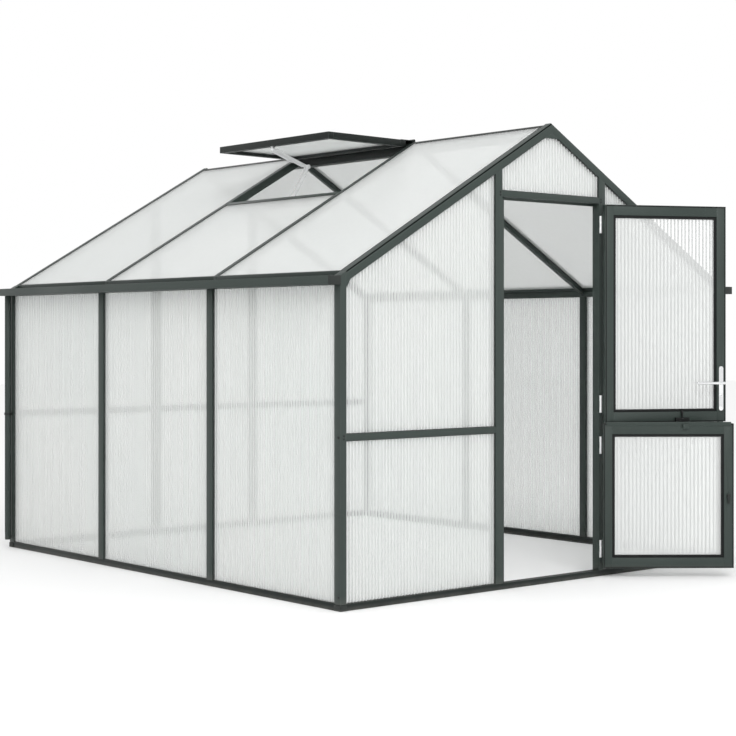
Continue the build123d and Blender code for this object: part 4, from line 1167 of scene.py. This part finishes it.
# ---- Sheets ----
@dataclass
class Glazing:
    """Twin-wall sheets: closed skins, ribs between them and gaskets round them."""

    layout: Layout
    rib_pitch: float = 0.0194
    rib_width: float = 0.0014
    foot: tuple[float, float] = (0.0046, 0.0009)
    skin: float = 0.0009
    end_gap: float = 0.002
    gasket_width: float = 0.0028
    gasket_depth: float = 0.003
    # On the leaves the gaskets are wide and black: real gaskets, widened and darkened as painted shade of the
    # shadowed bead.
    leaf_gasket_and_shade_width: float = 0.014
    leaf_gasket_depth: float = 0.006

    def ribs(self, name: str, slab: bpy.types.Object, solid: Solid, run: Run) -> bpy.types.Object:
        """Ribs that fill a sheet, trimmed to its outline.

        Args:
            name: Name of the new piece.
            slab: The sheet's skins, whose sloped edges trim the ribs.
            solid: The sheet's solid, in its own frame.
            run: Way that the flutes run.

        Returns:
            The ribs as one piece.
        """
        low, high = solid.low, solid.high
        size = high - low
        rest = [axis for axis in range(3) if axis != run.value]
        thin = min(rest, key=lambda axis: size[axis])
        across = max(rest, key=lambda axis: size[axis])
        count = round(size[across] / self.rib_pitch)
        step = size[across] / count
        start, end = low.copy(), high.copy()
        start[thin] += self.skin
        end[thin] -= self.skin
        start[run.value] += self.end_gap
        end[run.value] -= self.end_gap
        middle = start[across] + step / 2
        start[across], end[across] = middle - self.rib_width / 2, middle + self.rib_width / 2
        pieces = [block(name, start, end)]
        for edge, way in ((start[thin], 1), (end[thin], -1)):
            near, far_off = start.copy(), end.copy()
            near[across], far_off[across] = middle - self.foot[0] / 2, middle + self.foot[0] / 2
            near[thin], far_off[thin] = sorted((edge, edge + way * self.foot[1]))
            pieces.append(block(f"{name}_foot", near, far_off))
        rib = join(name, pieces)
        offset = Vector((0, 0, 0))
        offset[across] = step
        apply_modifier(
            rib, "ARRAY", count=count, use_relative_offset=False, use_constant_offset=True,
            constant_offset_displace=offset,
        )
        for face in slab.data.polygons:
            if max(abs(c) for c in face.normal) < SQUARE_ON:
                cut(rib, Vector(face.center) - Vector(face.normal) * self.end_gap, face.normal)
        return rib

    def sheets(
        self, node: str, kit: SheetKit, place: Matrix = Matrix.Identity(4), run: Run = Run.UPRIGHT,
        width: float | None = None, depth: float | None = None,
    ) -> None:
        """All the sheets of one CAD node, each as skins with ribs, and their gaskets.

        Args:
            node: The CAD node.
            kit: Finishes of the skins and the ribs.
            place: Frame that the sheets lie square in.
            run: Way that the flutes run there.
            width: Gasket's width, where it isn't the usual one.
            depth: Gasket's depth, where it isn't the usual one.
        """
        strips = []
        body = body_of(node)
        for number, solid in enumerate(self.layout.solids(node, place), 1):
            size = solid.high - solid.low
            thin = min(range(3), key=lambda axis: size[axis])
            slab = hull(f"{node}_{number}", solid)
            rib = self.ribs(f"{node}_{number}_ribs", slab, solid, run)
            for sign in (-1, 1):
                way = Vector((0, 0, 0))
                way[thin] = sign
                strips.append(
                    strip_round("strip", slab, way, width or self.gasket_width, depth or self.gasket_depth)
                )
            coat(slab, kit.skin())
            coat(rib, kit.rib())
            sheet = moved(join(f"{node}_{number}", (slab, rib)), place)
            hand_over(sheet, body, (), (node,))
        seal = moved(join(f"{node}_gaskets", strips), place)
        # The leaves' wide gaskets are black: real gaskets, and painted shade of the bead beside them.
        hand_over(seal, body, (BLACK if width else GASKET,))

    def build(self) -> None:
        """Sheets of the walls, the gables, the roof, the vent and the two leaves."""
        gable = SheetKit("gable", alpha=(0.10, 0.11), rib_tone=0.86)
        wall = SheetKit("wall", alpha=(0.13, 0.14), rib_tone=0.86)
        for node in ("glazing_front", "glazing_back"):
            self.sheets(node, gable)
        for node in ("glazing_left", "glazing_right"):
            self.sheets(node, wall)
        # The roof skins are darker than the walls': painted shade, since they are the same sheet.
        roof = SheetKit("roof", alpha=(0.37, 0.38), rib_alpha=(0.2, 0.22), painted_shade=0.19)
        for side in Side:
            self.sheets(f"glazing_roof_{side.name.lower()}", roof, self.layout.slope(side), Run.DOWN_SLOPE)
        self.sheets("vent_sheet", roof, self.layout.sash(), Run.DOWN_SLOPE)
        for leaf in ("upper", "lower"):
            # On the leaves the ribs are much darker: painted shade in the flutes.
            place = self.layout.opened(f"{leaf}_leaf_hinge")
            # The leaf sheets glow with painted light, so they look lit through.
            kit = SheetKit(f"{leaf}_leaf", (0.3, 0.31), rib_tone=0.42, rib_alpha=(0.6, 0.63), painted_glow=0.14)
            self.sheets(
                f"{leaf}_leaf_sheet", kit, place,
                width=self.leaf_gasket_and_shade_width, depth=self.leaf_gasket_depth,
            )


# ---- Studio ----
@dataclass
class Studio:
    """Pale floor, soft light and the camera."""

    eye_height: float = 1.225
    aside: float = 4.715
    ahead: float = 5.728
    look: tuple[float, float, float] = (0.648, 0.7616, 0.0)
    lens: float = 82.34
    shift: float = -0.0462
    sensor: float = 36.0
    sky: float = 1.0
    lamp_size: float = 6.0
    lamp_power: float = 400.0
    lamp_place: tuple[float, float, float] = (-4.0, -6.5, 6.5)
    lamp_aim: tuple[float, float, float] = (0, 1.2, 1.0)
    floor_size: float = 60.0
    floor_drop: float = 0.0005
    floor_tone: tuple[float, float, float, float] = (0.93, 0.93, 0.93, 1)

    def floor(self) -> None:
        """Plain pale floor just under the base."""
        low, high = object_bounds()
        middle = (Vector(low) + Vector(high)) / 2
        bpy.ops.object.select_all(action="DESELECT")
        bpy.ops.mesh.primitive_plane_add(
            size=self.floor_size, location=(middle.x, middle.y, low[2] - self.floor_drop)
        )
        ground = bpy.context.object
        ground.name = "floor"
        material = bpy.data.materials.new("pale_floor")
        material.use_nodes = True
        shader = material.node_tree.nodes["Principled BSDF"]
        shader.inputs["Base Color"].default_value = self.floor_tone
        shader.inputs["Roughness"].default_value = 0.9
        shader.inputs["Specular IOR Level"].default_value = 0.1
        ground.data.materials.append(material)
        ground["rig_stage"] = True

    def light(self) -> None:
        """White surroundings with one broad soft lamp."""
        world = bpy.data.worlds.new("studio")
        bpy.context.scene.world = world
        world.use_nodes = True
        background = world.node_tree.nodes["Background"]
        background.inputs["Color"].default_value = (1, 1, 1, 1)
        background.inputs["Strength"].default_value = self.sky
        lamp = bpy.data.lights.new("key", "AREA")
        lamp.shape = "DISK"
        lamp.size = self.lamp_size
        lamp.energy = self.lamp_power
        key = bpy.data.objects.new("key", lamp)
        bpy.context.scene.collection.objects.link(key)
        key.location = self.lamp_place
        key.rotation_euler = (Vector(self.lamp_aim) - key.location).to_track_quat("-Z", "Y").to_euler()

    def camera(self) -> None:
        """Camera in front of the near corner, level, a little to the left."""
        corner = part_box("corner_post_front_left")[0]
        lens = bpy.data.cameras.new("camera")
        lens.lens = self.lens
        lens.sensor_width = self.sensor
        lens.shift_y = self.shift
        stand = bpy.data.objects.new("camera", lens)
        bpy.context.scene.collection.objects.link(stand)
        stand.location = (corner.x - self.aside, corner.y - self.ahead, self.eye_height)
        stand.rotation_euler = Vector(self.look).to_track_quat("-Z", "Y").to_euler()
        bpy.context.scene.camera = stand

    def build(self) -> None:
        """The whole studio, with bounces enough to see through every skin."""
        self.floor()
        self.light()
        self.camera()
        scene = bpy.context.scene
        scene.view_settings.view_transform = "Standard"
        scene.cycles.transparent_max_bounces = 48
        scene.cycles.max_bounces = 10
        scene.cycles.diffuse_bounces = 6


def main() -> None:
    """Build the studio, then every sub-assembly in order."""
    logging.basicConfig(level=logging.INFO, format="%(name)s: %(message)s")
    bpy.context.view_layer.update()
    layout = Layout()
    Studio().build()
    kits = (
        Members(layout), SmallParts(layout), Opener(layout), Hinges(layout), Seals(layout),
        LipStrip(layout), Fixings(layout, Screws()), Glazing(layout),
    )
    for assembly in kits:
        assembly.build()
        log.info("built %s", type(assembly).__name__)


if __name__ == "__main__":
    main()
